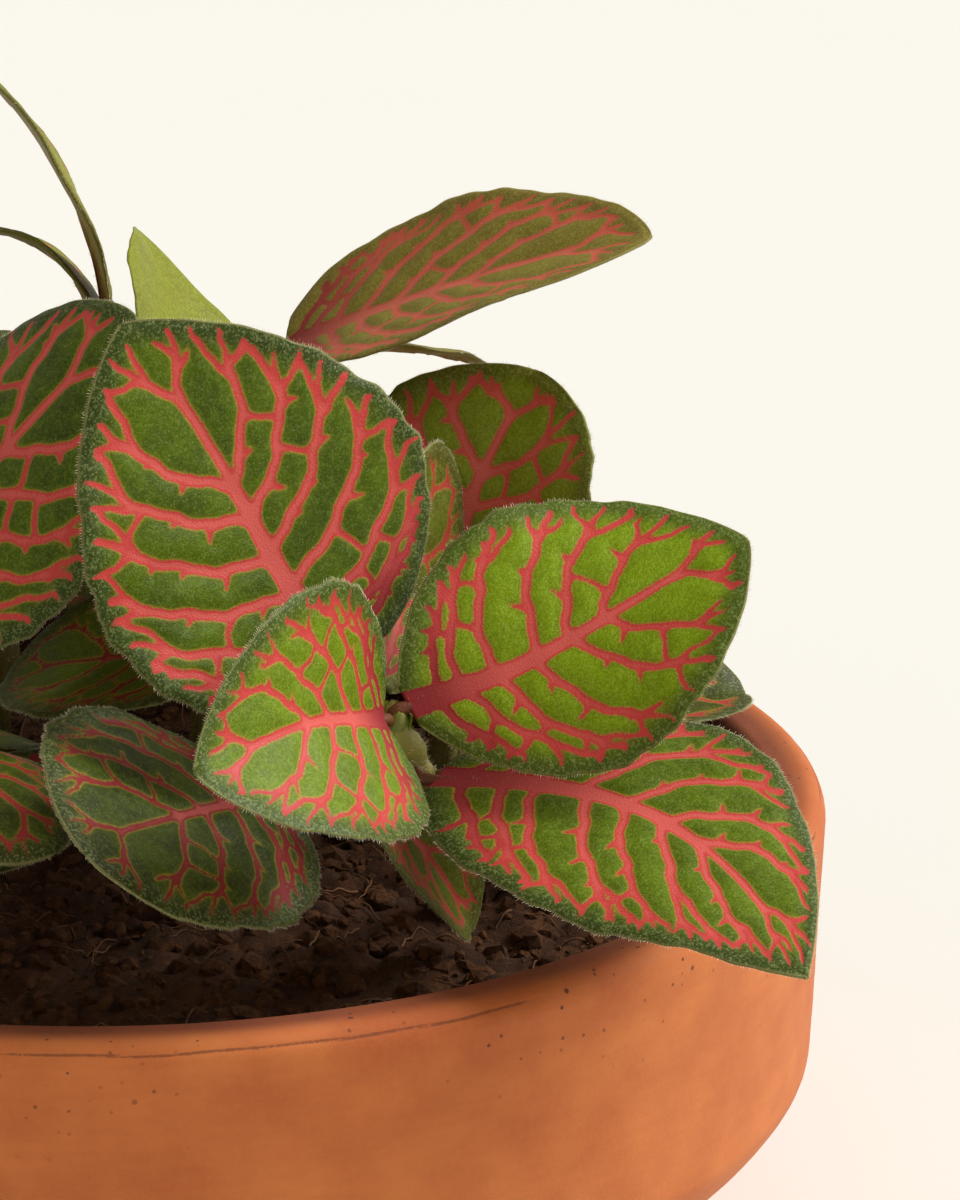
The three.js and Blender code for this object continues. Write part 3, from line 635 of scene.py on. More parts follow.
def leaf_grid(leaf):
    """Shares along and across the blade for every point of its upper skin"""
    rows = 2 * round(MESH["rows"] * leaf["length"] / leaf["grid"])
    columns = 2 * round(MESH["columns"] * leaf["width"] / leaf["grid"])
    share = np.linspace(0, 1, rows + 1)
    share = (1 - MESH["crowd"]) * share + MESH["crowd"] * (1 - np.cos(math.pi * share)) / 2
    u = BLADE["first_row"] + (1 - BLADE["first_row"]) * share
    return np.meshgrid(u, np.linspace(-1, 1, columns + 1), indexing="ij")


def leaf_fields(leaf, u, v, seed):
    """Places in the flattened leaf, the outline's slope, distances to margin and vein, that vein's radius"""
    length = leaf["length"]
    half = half_width(leaf, u)
    x, y = u * length, half * v
    slope = (half_width(leaf, u + 0.004) - half_width(leaf, u - 0.004)) / (0.008 * length)
    margin = np.maximum(half - abs(y), 0) / np.hypot(1, slope)
    # where the stalk joins the blade, the midrib is as if far from the margin
    margin = np.maximum(margin, 2 * smooth(1.7, 0.9, abs(y)) * smooth(5, 1.5, x))
    if leaf["pairs"] == 0:
        return x, y, slope, margin, *(np.full(x.shape, value) for value in NO_VEIN)
    vein, rank = vein_field(x.ravel(), y.ravel(), grow_veins(leaf, seed))
    return x, y, slope, margin, vein.reshape(x.shape), rank.reshape(x.shape)


def uneven_outline(u, v, seed):
    """Shares across the blade, moved so that its outline is a little uneven"""
    notch = 0.011 * np.sin(2 * math.pi * 6.3 * u + seed) + 0.007 * np.sin(2 * math.pi * 12.7 * u + 2 * seed)
    return v * (1 + notch * np.sign(v + 0.01) * abs(v) ** 6)


def skin_heights(leaf, x, y, margin, vein, rank, seed):
    """Heights of the two skins over the blade's middle: fields stand proud of the veins, ribs lie below"""
    inside = smooth(0.15, 1.5, margin)
    size = min(1.0, leaf["width"] / BLADE["full_width"])
    puff = size * BLADE["puff"] * smooth(0, 1.0, vein) * inside
    puff -= BLADE["groove"] * smooth(0.12, -0.2, vein) * inside
    puff += size * BLADE["dents"] * ripple(x, y, 4.5, seed) * inside
    thick = BLADE["edge"] + (BLADE["middle"] - BLADE["edge"]) * smooth(0, 0.9, margin)
    ridge = BLADE["ridge"] * rank * smooth(0.2, -0.15, vein) * inside
    return thick / 2 + puff, -thick / 2 + 0.8 * puff - ridge


def leaf_faces(shape):
    """Faces of both skins; also which points are on their rim, and which the lower skin has for itself

    The lower skin's cells are two by two grid steps, and take in every point of the rim.
    """
    rows, columns = shape[0] - 1, shape[1] - 1
    numbers = np.arange(shape[0] * shape[1]).reshape(shape)
    first = numbers[:-1, :-1].ravel()
    faces = np.stack([first, first + columns + 1, first + columns + 2, first + 1], 1).tolist()
    rim = np.zeros(shape, bool)
    rim[[0, -1], :] = rim[:, [0, -1]] = True
    own = ~rim & (np.arange(rows + 1) % 2 == 0)[:, None] & (np.arange(columns + 1) % 2 == 0)
    under = np.where(rim, numbers, -1)
    under[own] = numbers.size + np.arange(own.sum())
    for i in range(0, rows, 2):
        for j in range(0, columns, 2):
            face = []
            for corner_spot, next_spot, on_rim in (
                ((i, j), (i, j + 1), i == 0),
                ((i, j + 2), (i + 1, j + 2), j + 2 == columns),
                ((i + 2, j + 2), (i + 2, j + 1), i + 2 == rows),
                ((i + 2, j), (i + 1, j), j == 0),
            ):
                face.append(under[corner_spot])
                if on_rim:
                    face.append(under[next_spot])
            faces.append(face)
    return faces, rim, own


def add_leaf(shell, rims, leaf, seed):
    """Put a leaf into a shell, and the two sides of a veined leaf's outline into the rims that carry hairs"""
    u, v = leaf_grid(leaf)
    x, y, slope, margin, vein, rank = leaf_fields(leaf, u, v, seed)
    place, normal, left, along = blade_points(leaf, u, uneven_outline(u, v, seed))
    faces, rim, own = leaf_faces(u.shape)
    heights = skin_heights(leaf, x, y, margin, vein, rank, seed)
    over, below = (np.where(rim, 0, height)[..., None] for height in heights)
    points = np.concatenate([(place + normal * over).reshape(-1, 3), (place + normal * below)[own]])
    veined = leaf["pairs"] != 0
    fields = dict(vein=vein, rank=rank, margin=margin if veined else margin + NO_BORDER, along=u)
    fields = {mark: np.concatenate([field.ravel(), field[own]]) for mark, field in fields.items()}
    under = np.concatenate([np.zeros(u.size), np.ones(own.sum())])
    shell.add(points, faces, look=np.array(leaf["look"]), under=under, **fields)
    if veined:
        outward = unit(along * -slope[..., None] + left * np.sign(v)[..., None])
        haired = u[:, 0] > BLADE["last_hair"]
        rims += [(place[haired, side], outward[haired, side]) for side in (0, -1)]


def leaf_of(entry, number):
    """A leaf with all its values; leaves that have no look of their own differ a little"""
    leaf = {**USUAL, **entry}
    leaf["at"] = np.array(leaf["at"], float)
    if leaf["look"] is None:
        draws = np.random.default_rng(900 + number)
        leaf["look"] = (draws.uniform(0.15, 0.5), draws.uniform(0, 0.25), draws.uniform(0.2, 0.8))
    return leaf


def bud_leaves(stem):
    """Small folded leaves round the end of a stem; every other one is smaller"""
    top = np.array(stem[2], float)
    for i in range(4):
        heading = 35 + 90 * i + 7 * math.sin(9 * top[0] + i)
        out = np.array([math.cos(math.radians(heading)), math.sin(math.radians(heading)), 0])
        small = i % 2
        yield leaf_of(dict(
            at=top + 0.8 * out + (0, 0, 0.2 + 0.4 * small), heading=heading, pitch=58 + 9 * small, roll=0,
            length=3.6 - 0.7 * small, width=2.2, droop=-30, fold=0.35, cup=0.1, grid=0.35, pairs=0,
            look=(1, 0.1, 0.5)), 0)


# Stems and stalks

def stem_curve(stem, share):
    """Points at each share of the even curve through a stem's three places"""
    share = np.asarray(share, float)[:, None]
    foot, middle, top = (np.array(place, float) for place in stem)
    return (2 * (share - 0.5) * (share - 1) * foot - 4 * share * (share - 1) * middle
            + 2 * share * (share - 0.5) * top)


def joint_on(stem, height):
    places = stem_curve(stem, np.linspace(0, 1, 61))
    return places[abs(places[:, 2] - height).argmin()]


def add_stem(shell, stem, leaves):
    """A stem from below the soil to its end bud, thicker at each joint"""
    share = np.linspace(0, 1, STEM["steps"])
    path = stem_curve(stem, share)
    radius = STEM["base_radius"] + (STEM["top_radius"] - STEM["base_radius"]) * share
    for height in {leaf["joint"] for leaf in leaves}:
        radius = radius + STEM["knuckle"] * np.exp(-((path[:, 2] - height) / STEM["knuckle_reach"]) ** 2)
    top = path[-1]
    path = np.concatenate([[(*stem[0][:2], STEM["foot"])], path, [top + (0, 0, rise) for rise, _ in BUD]])
    radius = np.concatenate([[STEM["base_radius"]], radius, [size for _, size in BUD]])
    radius = radius * (1 + 0.04 * ripple(path[:, 2], path[:, 0], 3, 5))
    points, faces = tube(path, radius, STEM["sides"])
    height = (points[:, 2] - STEM["soil"]) / (top[2] - STEM["soil"])
    shell.add(points, faces, fresh=smooth(0.6, 1.05, height), flush=0.25 * smooth(0.2, 0.9, height))


def add_stalk(shell, stem, leaf):
    """A stalk from its joint on the stem to its blade, redder towards the blade"""
    joint = joint_on(stem, leaf["joint"])
    along = leaf_axes(leaf)[0]
    base = leaf["at"]
    reach = math.dist(base, joint)
    leave = joint + (base - joint) * STALK["leave"] + (0, 0, STALK["lift"] * reach)
    arrive = base - STALK["arrive"] * reach * along
    steps, ribs = STALK["steps"], np.array(STALK["ribs"])
    place, normal, _, _ = blade_points(leaf, ribs, np.zeros(len(ribs)))
    path = bezier(np.linspace(0, 1, steps), (joint, leave, arrive, base))
    path = np.concatenate([path, place - STALK["sink"] * normal])
    radius = np.concatenate([
        np.linspace(STALK["radius"], STALK["base_radius"], steps),
        np.linspace(0.85 * STALK["base_radius"], STALK["end_radius"], len(ribs))])
    radius *= min(1, leaf["length"] / STALK["full_length"])
    points, faces = tube(path, radius, STALK["sides"], flat=0.92)
    flush = np.linspace(0.75, 1, len(path))
    shell.add(points, faces, fresh=0.35, flush=np.repeat(flush, STALK["sides"]))


# Pot and soil

def corner(radius, depth, rise, steps):
    """The rounded way out and up from the foot to a wall"""
    turn = np.linspace(0, math.pi / 2, steps)
    out = np.sin(turn) ** POT["corner_power"]
    up = 1 - np.maximum(np.cos(turn), 0) ** POT["corner_power"]
    return np.stack([POT["foot"] + (radius - POT["foot"]) * out, depth + rise * up], 1)


def spun(profile, sides):
    """Rings round the Z axis from a profile of radius and height, which starts and ends on the axis"""
    turn = ring_turns(sides)
    inner = profile[1:-1]
    rings = np.stack([
        inner[:, :1] * np.cos(turn), inner[:, :1] * np.sin(turn), np.repeat(inner[:, 1:], sides, 1)], 2)
    points = np.concatenate([rings.reshape(-1, 3), [(0, 0, profile[0, 1]), (0, 0, profile[-1, 1])]])
    faces = ring_faces(len(inner), sides, closed_ends=False)
    last = (len(inner) - 1) * sides
    for j in range(sides):
        after = (j + 1) % sides
        faces.append((after, j, len(points) - 2))
        faces.append((last + j, last + after, len(points) - 1))
    return points, faces


def pot_profile():
    """From the middle of the foot out, up the wall, over the lip and down inside to the floor's middle"""
    inner = POT["radius"] - POT["wall"]
    top, round_out, round_in = POT["height"], POT["lip"], POT["inner_lip"]
    turn = np.linspace(0, math.pi / 2, 20)
    out = np.stack([POT["radius"] - round_out * (1 - np.cos(turn)), top - round_out * (1 - np.sin(turn))], 1)
    back = np.stack([inner + round_in * (1 - np.sin(turn)), top - round_in * (1 - np.cos(turn))], 1)
    share = np.linspace(0, 1, 60)[1:-1]
    band = POT["low_radius"] + (POT["radius"] - POT["low_radius"]) * share
    rise = POT["corner"] + (top - round_out - POT["corner"]) * share
    wall = np.linspace(top - round_in, POT["corner"], 14)[1:-1]
    return np.concatenate([
        [(0, 0), (POT["flat"], 0)],
        corner(POT["low_radius"], 0, POT["corner"], 26),
        np.stack([band, rise], 1),
        out,
        back,
        np.stack([np.full(len(wall), float(inner)), wall], 1),
        corner(inner, POT["floor"], POT["corner"] - POT["floor"], 14)[::-1],
        [(POT["flat"], POT["floor"]), (0, POT["floor"])],
    ])


def build_clay(material):
    """The bowl, with a mould seam below its lip that comes and goes, and the unevenness of pressed clay"""
    points, faces = spun(pot_profile(), POT["sides"])
    x, y, z = points.T
    out = np.hypot(x, y)
    around = np.arctan2(y, x) * POT["radius"]
    broken = smooth(-0.35, 0.1, ripple(around, 0 * z, 24, 67))
    level = SEAM["height"] + SEAM["wander"] * ripple(around, 0 * z, 9, 14)
    outside = out > POT["low_radius"] - 0.6
    seam = np.exp(-((z - level) / SEAM["half_width"]) ** 2) * broken * outside
    uneven = 0.05 * ripple(around, z, 14, 12) + 0.02 * ripple(around, 3 * z, 5, 13)
    scale = 1 + (uneven * smooth(1, 4, z) - SEAM["depth"] * seam) / np.maximum(out, 1)
    points = np.stack([x * scale, y * scale, z], 1)
    return new_piece("pot_clay", points, faces, material=material, marks=dict(seam=seam))


def build_pot(material):
    pot = build_clay(material)
    drains = Shell()
    for turn in ring_turns(DRAIN["count"]) + math.pi / 2:
        spot = DRAIN["ring"] * np.array([math.cos(turn), math.sin(turn), 0])
        drains.add(*tube([spot - (0, 0, 5), spot + (0, 0, 10)], [DRAIN["radius"]] * 2, DRAIN["sides"]))
    cutter = drains.piece("drains", material)
    cut = pot.modifiers.new("drains", "BOOLEAN")
    cut.object = cutter
    cut.solver = "EXACT"
    pot = keep_result(pot, "pot_clay")
    bpy.data.objects.remove(cutter)
    return pot


def soil_top(x, y):
    """The same mound as in the frame"""
    out = np.minimum(1, np.hypot(x, y) / (POT["radius"] - POT["wall"]))
    lumps = np.sin(0.21 * x + 1.1) * np.cos(0.17 * y - 0.4) + 0.5 * np.sin(0.43 * (x - y))
    return SOIL["level"] + SOIL["mound"] * (1 - out ** 2) + SOIL["lump"] * lumps * (1 - out ** 4)


def soil_clods(x, y):
    """The mound with waves and with rounded clods of two sizes, which have narrow gaps between them"""
    clods = ripple(x, y, 9, 21)
    for size, rise, seed in ((5, 1.3, 22), (2.2, 0.8, 23)):
        clods = clods + rise * abs(ripple(x, y, size, seed)) ** 0.7
    return soil_top(x, y) + clods - SOIL["sink"]


def build_soil(material):
    edge = POT["radius"] - POT["wall"] - SOIL["gap"]
    bottom = POT["floor"] + SOIL["gap"]
    profile = np.concatenate([
        [(0, bottom), (POT["flat"], bottom)],
        corner(edge, bottom, POT["corner"] - bottom, 9),
        [(edge, SOIL["level"] - SOIL["rim_drop"])],
        [(radius, SOIL["level"]) for radius in np.linspace(edge, 0.6, SOIL["rows"])],
        [(0, SOIL["level"])],
    ])
    points, faces = spun(profile, SOIL["sides"])
    top = points[:, 2] > SOIL["level"] - 0.01
    points[top, 2] = soil_clods(points[top, 0], points[top, 1])
    return new_piece("soil_body", points, faces, material=material)


def fibre_lines():
    """Bent root and coir strands that lie on the soil, as points, edges and a share of thickness"""
    draws = np.random.default_rng(FIBRES["seed"])
    points, edges, thick = [], [], []
    field = FIBRES["field"]
    for _ in range(FIBRES["count"]):
        place = draws.uniform(-field, field, 2)
        while math.hypot(*place) > field:
            place = draws.uniform(-field, field, 2)
        heading = draws.uniform(0, 2 * math.pi)
        bend = draws.uniform(-0.14, 0.14)
        steps = int(draws.uniform(5, 18))
        size = draws.uniform(0.35, 1.5)
        lift = draws.uniform(0.0, 0.7)
        first = len(points)
        for share in np.linspace(0, 1, steps):
            height = soil_clods(*place) + FIBRES["rest"] + lift * math.sin(math.pi * share)
            points.append((*place, height))
            thick.append(size * (1 - 0.6 * share))
            heading += bend + draws.uniform(-0.2, 0.2)
            step = FIBRES["step"] * np.array([math.cos(heading), math.sin(heading)])
            if math.hypot(*(place + step)) < FIBRES["wall"]:
                place = place + step
        edges += [(i, i + 1) for i in range(first, len(points) - 1)]
    return points, edges, thick


# Helpers for node trees

def node(tree, kind, values=None, **settings):
    """A new node; a value that is another node's output is joined, any other is set on the socket"""
    made = tree.nodes.new(kind)
    for name, setting in settings.items():
        setattr(made, name, setting)
    for key, value in (values or {}).items():
        if isinstance(value, bpy.types.NodeSocket):
            tree.links.new(value, made.inputs[key])
        else:
            made.inputs[key].default_value = value
    return made


def maths(tree, operation, *values, clamp=False):
    made = node(tree, "ShaderNodeMath", dict(enumerate(values)), operation=operation, use_clamp=clamp)
    return made.outputs[0]


def times(tree, first, second, clamp=False):
    return maths(tree, "MULTIPLY", first, second, clamp=clamp)


def times_plus(tree, value, factor, offset):
    return maths(tree, "MULTIPLY_ADD", value, factor, offset)


def vector_maths(tree, operation, first, second):
    second_socket = 3 if operation == "SCALE" else 1
    made = node(tree, "ShaderNodeVectorMath", {0: first, second_socket: second}, operation=operation)
    return made.outputs[0]


def parts_of(tree, vector):
    return node(tree, "ShaderNodeSeparateXYZ", {0: vector}).outputs


def ease(tree, value, low, high, start=0.0, end=1.0):
    """Start below low and end above high, with a soft change between; low may be the larger one"""
    if low > high:
        low, high, start, end = high, low, end, start
    return node(tree, "ShaderNodeMapRange", {0: value, 1: low, 2: high, 3: start, 4: end},
                interpolation_type="SMOOTHSTEP").outputs[0]


def mark_on(tree, value, name, start=0.0, end=1.0):
    """One of the named marks on the clay, whose limits are in millimetres"""
    low, high = MARKS[name]
    return ease(tree, value, low * MM, high * MM, start, end)


def paint(red, green, blue):
    """A colour from 0-255 display values"""
    linear = [((c / 255 + 0.055) / 1.055) ** 2.4 if c > 10 else c / 3295 for c in (red, green, blue)]
    return (*linear, 1.0)


def mix(tree, share, first, second, how="MIX"):
    made = node(tree, "ShaderNodeMix", {0: share, 6: first, 7: second}, data_type="RGBA", blend_type=how)
    return made.outputs[2]


def coats(tree, colour, *layers):
    """Thin coats over a colour; each has a mask, the share that it covers where that is 1, and its colour"""
    for mask, share, coat in layers:
        colour = mix(tree, times(tree, mask, share), colour, paint(*coat))
    return colour


def new_group(name, kind, made, **given):
    """A node group with named sockets; returns the tree, what it is given, and the node for what it makes"""
    tree = bpy.data.node_groups.new(name, kind)
    for way, sockets in (("INPUT", given), ("OUTPUT", made)):
        for label, socket in sockets.items():
            tree.interface.new_socket(label, in_out=way, socket_type="NodeSocket" + socket)
    return tree, tree.nodes.new("NodeGroupInput").outputs, tree.nodes.new("NodeGroupOutput")


def use_group(tree, group, **values):
    made = node(tree, "ShaderNodeGroup", node_tree=group)
    for name, value in values.items():
        if isinstance(value, bpy.types.NodeSocket):
            tree.links.new(value, made.inputs[name])
        else:
            made.inputs[name].default_value = value
    return made.outputs


def new_material(name, **sockets):
    """A material and its tree, place on the object, and main shader with plain values on its sockets"""
    material = bpy.data.materials.new(name)
    material.use_nodes = True
    tree = material.node_tree
    shader = tree.nodes["Principled BSDF"]
    for key, value in sockets.items():
        shader.inputs[key.replace("_", " ")].default_value = value
    spot = node(tree, "ShaderNodeTexCoord").outputs["Object"]
    return material, tree, spot, shader


def read(tree, *marks):
    """The numbers that a mesh carries at its points"""
    return [node(tree, "ShaderNodeAttribute", attribute_name=mark).outputs["Fac"] for mark in marks]


def finish_shader(tree, shader, colour, rough, height=None, strength=0.5, depth=0.0001):
    """Join the colour, the roughness, and a bump of the given strength and depth"""
    tree.links.new(colour, shader.inputs["Base Color"])
    tree.links.new(rough, shader.inputs["Roughness"])
    if height:
        bump = node(tree, "ShaderNodeBump", {"Strength": strength, "Distance": depth, "Height": height})
        tree.links.new(bump.outputs[0], shader.inputs["Normal"])


# Shared effects: mottled clouds, scattered dots, and a skin of fine cells

def mottle_group():
    """Broad clouds with finer ones in them, from 0 to 1 with a middle of a half"""
    tree, given, result = new_group(
        "mottle", "ShaderNodeTree", dict(Clouds="Float"), Spot="Vector", Size="Float", Fine="Float")
    broad, fine = (
        node(tree, "ShaderNodeTexNoise", {"Vector": given["Spot"], "Scale": size, "Detail": detail})
        for size, detail in ((given["Size"], 2.0), (times(tree, given["Size"], 5.3), 4.0)))
    blend = node(tree, "ShaderNodeMix", {
        0: given["Fine"], 2: broad.outputs["Fac"], 3: fine.outputs["Fac"]}).outputs[0]
    tree.links.new(ease(tree, blend, 0.3, 0.7), result.inputs[0])
    return tree


def cells_in(tree, given, unevenness):
    """How far each spot is from the middle of its cell in a foam, and three random numbers for the cell"""
    cells = node(tree, "ShaderNodeTexVoronoi", {
        "Vector": given["Spot"], "Scale": given["Size"], "Randomness": unevenness})
    pick = node(tree, "ShaderNodeSeparateColor", {0: cells.outputs["Color"]}).outputs
    return cells.outputs["Distance"], pick


def dots_group():
    """Round dots in a share of the cells of a foam; Dots is 1 in their middle"""
    tree, given, result = new_group(
        "dots", "ShaderNodeTree", dict(Dots="Float"), Spot="Vector", Size="Float", Share="Float",
        Reach="Float")
    distance, pick = cells_in(tree, given, 1.0)
    chosen = maths(tree, "LESS_THAN", pick[0], given["Share"])
    near = maths(tree, "DIVIDE", distance, given["Reach"])
    tree.links.new(times(tree, chosen, ease(tree, near, 1.0, 0.5)), result.inputs[0])
    return tree


def skin_group():
    """A skin of fine raised cells: Height for a bump, and Cell, an uneven value for each cell"""
    tree, given, result = new_group(
        "skin", "ShaderNodeTree", dict(Height="Float", Cell="Float"), Spot="Vector", Size="Float")
    distance, pick = cells_in(tree, given, 0.9)
    tree.links.new(maths(tree, "SUBTRACT", 1.0, distance), result.inputs[0])
    tree.links.new(pick[1], result.inputs[1])
    return tree


MOTTLE, DOTS, SKIN = mottle_group(), dots_group(), skin_group()


def mottled(tree, spot, size, fine=0.4):
    return use_group(tree, MOTTLE, Spot=spot, Size=size, Fine=fine)[0]


def dotted(tree, spot, size, share, reach):
    return use_group(tree, DOTS, Spot=spot, Size=size, Share=share, Reach=reach)[0]


# Materials

def leaf_material():
    material, tree, spot, shader = new_material(
        "leaf_skin", Roughness=0.5, Specular_IOR_Level=0.17, Subsurface_Weight=0.08,
        Subsurface_Radius=(0.9, 1.0, 0.25), Subsurface_Scale=0.0004,
        Sheen_Weight=0.02, Sheen_Roughness=0.4, Sheen_Tint=(0.9, 0.9, 0.7, 1))
    look = node(tree, "ShaderNodeAttribute", attribute_name="look").outputs["Vector"]
    bright, bronze, crimson = parts_of(tree, look)
    vein, rank, margin, along, under = read(tree, "vein", "rank", "margin", "along", "under")
    clouds = mottled(tree, spot, 170.0)
    fine = mottled(tree, spot, 900.0, 0.5)
    sheen_clouds = mottled(tree, spot, 2600.0, 0.6)
    height, cell = use_group(tree, SKIN, Spot=spot, Size=6200.0)

    # the vein's edge wanders with the cells of the skin
    wander = maths(tree, "ADD", vein, times_plus(tree, fine, 0.09, -0.045))
    edge = maths(tree, "ADD", wander, times_plus(tree, cell, 0.08, -0.04))
    on_vein = ease(tree, edge, 0.06, -0.07)
    pale_core_and_highlight = times(tree, ease(tree, edge, -0.08, -0.3), ease(tree, rank, 0.18, 0.45))
    halo = ease(tree, edge, 0.45, 0.05)
    border = times(tree, ease(tree, edge, 0.17, 0.06), ease(tree, margin, 0.6, 2.5))

    # green fields: dark or bright, yellower beside the veins, greyer towards the margin, with a painted sheen
    # of pale cells strongest there
    shade = maths(tree, "ADD", bright, times_plus(tree, clouds, 0.3, -0.15), clamp=True)
    grey = times(tree, ease(tree, margin, 3.1, 0.5), 0.72)
    grey = times(tree, grey, times_plus(tree, bronze, -0.8, 1.0))
    # painted sheen: pale cells, strongest towards the margin, stand in for the skin's frosty shine
    painted_cell_sheen = times(tree, ease(tree, cell, 0.45, 1.0), maths(tree, "ADD", sheen_clouds, 0.5))
    green = coats(
        tree, mix(tree, shade, paint(44, 62, 2), paint(126, 154, 0)),
        (halo, 0.4, (112, 112, 14)),
        (border, 0.5, (172, 146, 48)),
        (grey, 1.0, (46, 58, 26)),
        (bronze, 0.85, (132, 96, 50)),
        (painted_cell_sheen, times_plus(tree, grey, 0.36, 0.15), (138, 148, 92)))
    cells = times_plus(tree, cell, 0.4, 0.8)
    cells = node(tree, "ShaderNodeCombineColor", {0: cells, 1: cells, 2: cells}).outputs[0]
    green = mix(tree, 1.0, green, cells, how="MULTIPLY")

    # veins: coral to crimson, the finest ones darker, thick ones paler in their middle, partly their own
    # colour and partly a painted highlight
    red = coats(
        tree, mix(tree, crimson, paint(210, 72, 68), paint(136, 32, 38)),
        (ease(tree, rank, 0.26, 0.12), 0.35, (120, 40, 30)),
        # a paler middle in thick veins, partly their own colour and partly a painted highlight along the
        # ridge
        (pale_core_and_highlight, 0.5, (228, 116, 106)),
        (bronze, 0.5, (166, 112, 66)),
        # dark crimson at the blade's foot, partly the veins' own colour and partly painted shade where the
        # blade meets its stalk
        (ease(tree, along, 0.32, 0.03), 0.85, (128, 28, 40)))

    # painted glints as pale dots on the skin, a pale rim, and a plainer underside
    colour = coats(
        tree, mix(tree, on_vein, green, red),
        (dotted(tree, spot, 4200.0, 0.12, 0.28), ease(tree, on_vein, 0, 1, 0.34, 0.12), (186, 190, 150)),
        (ease(tree, margin, 0.25, 0.05), 0.55, (150, 144, 92)))
    pale = coats(tree, paint(128, 136, 82), (on_vein, 0.7, (186, 124, 100)), (bronze, 1.0, (142, 114, 8)))
    colour = mix(tree, times(tree, under, 0.85), colour, pale)
    rough = times_plus(tree, on_vein, -0.06, times_plus(tree, fine, 0.12, 0.44))
    finish_shader(tree, shader, colour, rough, height, 0.5, 0.00006)
    return material


def stem_material():
    material, tree, spot, shader = new_material(
        "stem_skin", Specular_IOR_Level=0.4, Subsurface_Weight=0.15, Subsurface_Radius=(1.0, 0.9, 0.3),
        Subsurface_Scale=0.0006)
    fresh, flush = read(tree, "fresh", "flush")
    stretched = node(tree, "ShaderNodeMapping", {"Vector": spot, "Scale": (1.0, 1.0, 0.35)}).outputs[0]
    streaks = mottled(tree, stretched, 700.0)
    height, _ = use_group(tree, SKIN, Spot=spot, Size=4200.0)
    colour = coats(
        tree, mix(tree, streaks, paint(98, 88, 40), paint(140, 134, 66)),
        (fresh, 0.7, (160, 168, 72)),
        (flush, times_plus(tree, streaks, 0.25, 0.75), (104, 24, 28)))
    finish_shader(tree, shader, colour, times_plus(tree, streaks, 0.15, 0.42), height, 0.5, 0.00008)
    return material


def clay_material():
    material, tree, spot, shader = new_material(
        "terracotta", Specular_IOR_Level=0.34, Sheen_Weight=0.03, Sheen_Roughness=0.6)
    x, y, height = parts_of(tree, spot)
    clouds = mottled(tree, spot, 34.0)
    flat = node(tree, "ShaderNodeMapping", {"Vector": spot, "Scale": (0.5, 0.5, 3.0)}).outputs[0]
    streaks = mottled(tree, flat, 90.0)
    grain = mottled(tree, spot, 1500.0, 0.6)

    # crumbs of soil stick to the clay, most of them near the lip, and a thin seam runs below it
    near_lip = mark_on(tree, height, "specks", 0.12)
    drifts = ease(tree, mottled(tree, spot, 60.0), 0.25, 0.75)
    specks = maths(
        tree, "MAXIMUM", dotted(tree, spot, 480.0, 0.22, 0.15), dotted(tree, spot, 1200.0, 0.16, 0.26))
    dirt = times(tree, specks, times(tree, near_lip, drifts))
    seam, = read(tree, "seam")
    seam = times_plus(tree, times_plus(tree, grain, 0.7, -0.35), seam, seam)

    # the inner wall is darker from below the soil up to the lip, most of all low down, partly stained by the
    # soil and partly painted shade in the bowl's hollow; the lip's inner edge is darker too, from dampness
    # and painted shade
    out = node(tree, "ShaderNodeCombineXYZ", {0: x, 1: y}).outputs[0]
    out = node(tree, "ShaderNodeVectorMath", {0: out}, operation="LENGTH").outputs["Value"]
    stain_and_shade = times(tree, mark_on(tree, out, "stain_and_shade"), mark_on(tree, height, "stain_and_shade_low"))
    stain_and_shade = times(tree, stain_and_shade, mark_on(tree, height, "stain_and_shade_high", 0.35, 0.95))
    stain_and_shade = times(tree, stain_and_shade, times_plus(tree, grain, 0.5, 0.6), clamp=True)
    damp_and_shade = times(tree, mark_on(tree, out, "damp_and_shade"), mark_on(tree, height, "damp_and_shade_low"))
    colour = coats(
        tree, mix(tree, clouds, paint(178, 87, 36), paint(210, 121, 59)),
        (streaks, 0.35, (176, 84, 38)),
        (grain, 0.16, (216, 142, 84)),
        (dirt, 0.9, (78, 38, 24)),
        (ease(tree, seam, 0.45, 0.8), 0.6, (88, 44, 26)),
        # painted shade and dampness on the lip's inner edge, then painted shade and soil marks on the inner
        # wall
        (damp_and_shade, times_plus(tree, clouds, 0.3, 0.65), (112, 48, 22)),
        (stain_and_shade, 1.0, (62, 38, 24)))
    rise = times_plus(tree, dirt, 0.8, times(tree, grain, 0.5))
    finish_shader(tree, shader, colour, times_plus(tree, grain, 0.16, 0.66), rise, 0.35, 0.00012)
    return material


def compost_material(name, dark, light, size):
    material, tree, spot, shader = new_material(name, Specular_IOR_Level=0.25)
    grain = mottled(tree, spot, 4.5 * size, 0.6)
    colour = coats(
        tree, mix(tree, mottled(tree, spot, size), paint(*dark), paint(*light)),
        (grain, 0.4, (34, 20, 10)),
        (dotted(tree, spot, 2.2 * size, 0.12, 0.4), 0.5, (112, 72, 40)))
    finish_shader(tree, shader, colour, times_plus(tree, grain, 0.2, 0.72), grain, 0.7, 0.0003)
    return material


def fibre_material():
    material, tree, spot, shader = new_material("fibre", Specular_IOR_Level=0.3)
    grain = mottled(tree, spot, 2600.0)
    colour = mix(tree, mottled(tree, spot, 240.0), paint(66, 38, 20), paint(124, 82, 46))
    colour = coats(tree, colour, (grain, 0.25, (150, 116, 78)))
    finish_shader(tree, shader, colour, times_plus(tree, grain, 0.2, 0.6))
    return material


def hair_material():
    material, tree, spot, shader = new_material("hair", Specular_IOR_Level=0.5)
    clouds = mottled(tree, spot, 900.0)
    colour = mix(tree, clouds, paint(196, 190, 150), paint(236, 232, 206))
    finish_shader(tree, shader, colour, times_plus(tree, clouds, 0.15, 0.35))
    return material


# Geometry Nodes: crumbs and fibres on the soil, hairs along the leaf margins and on the stems

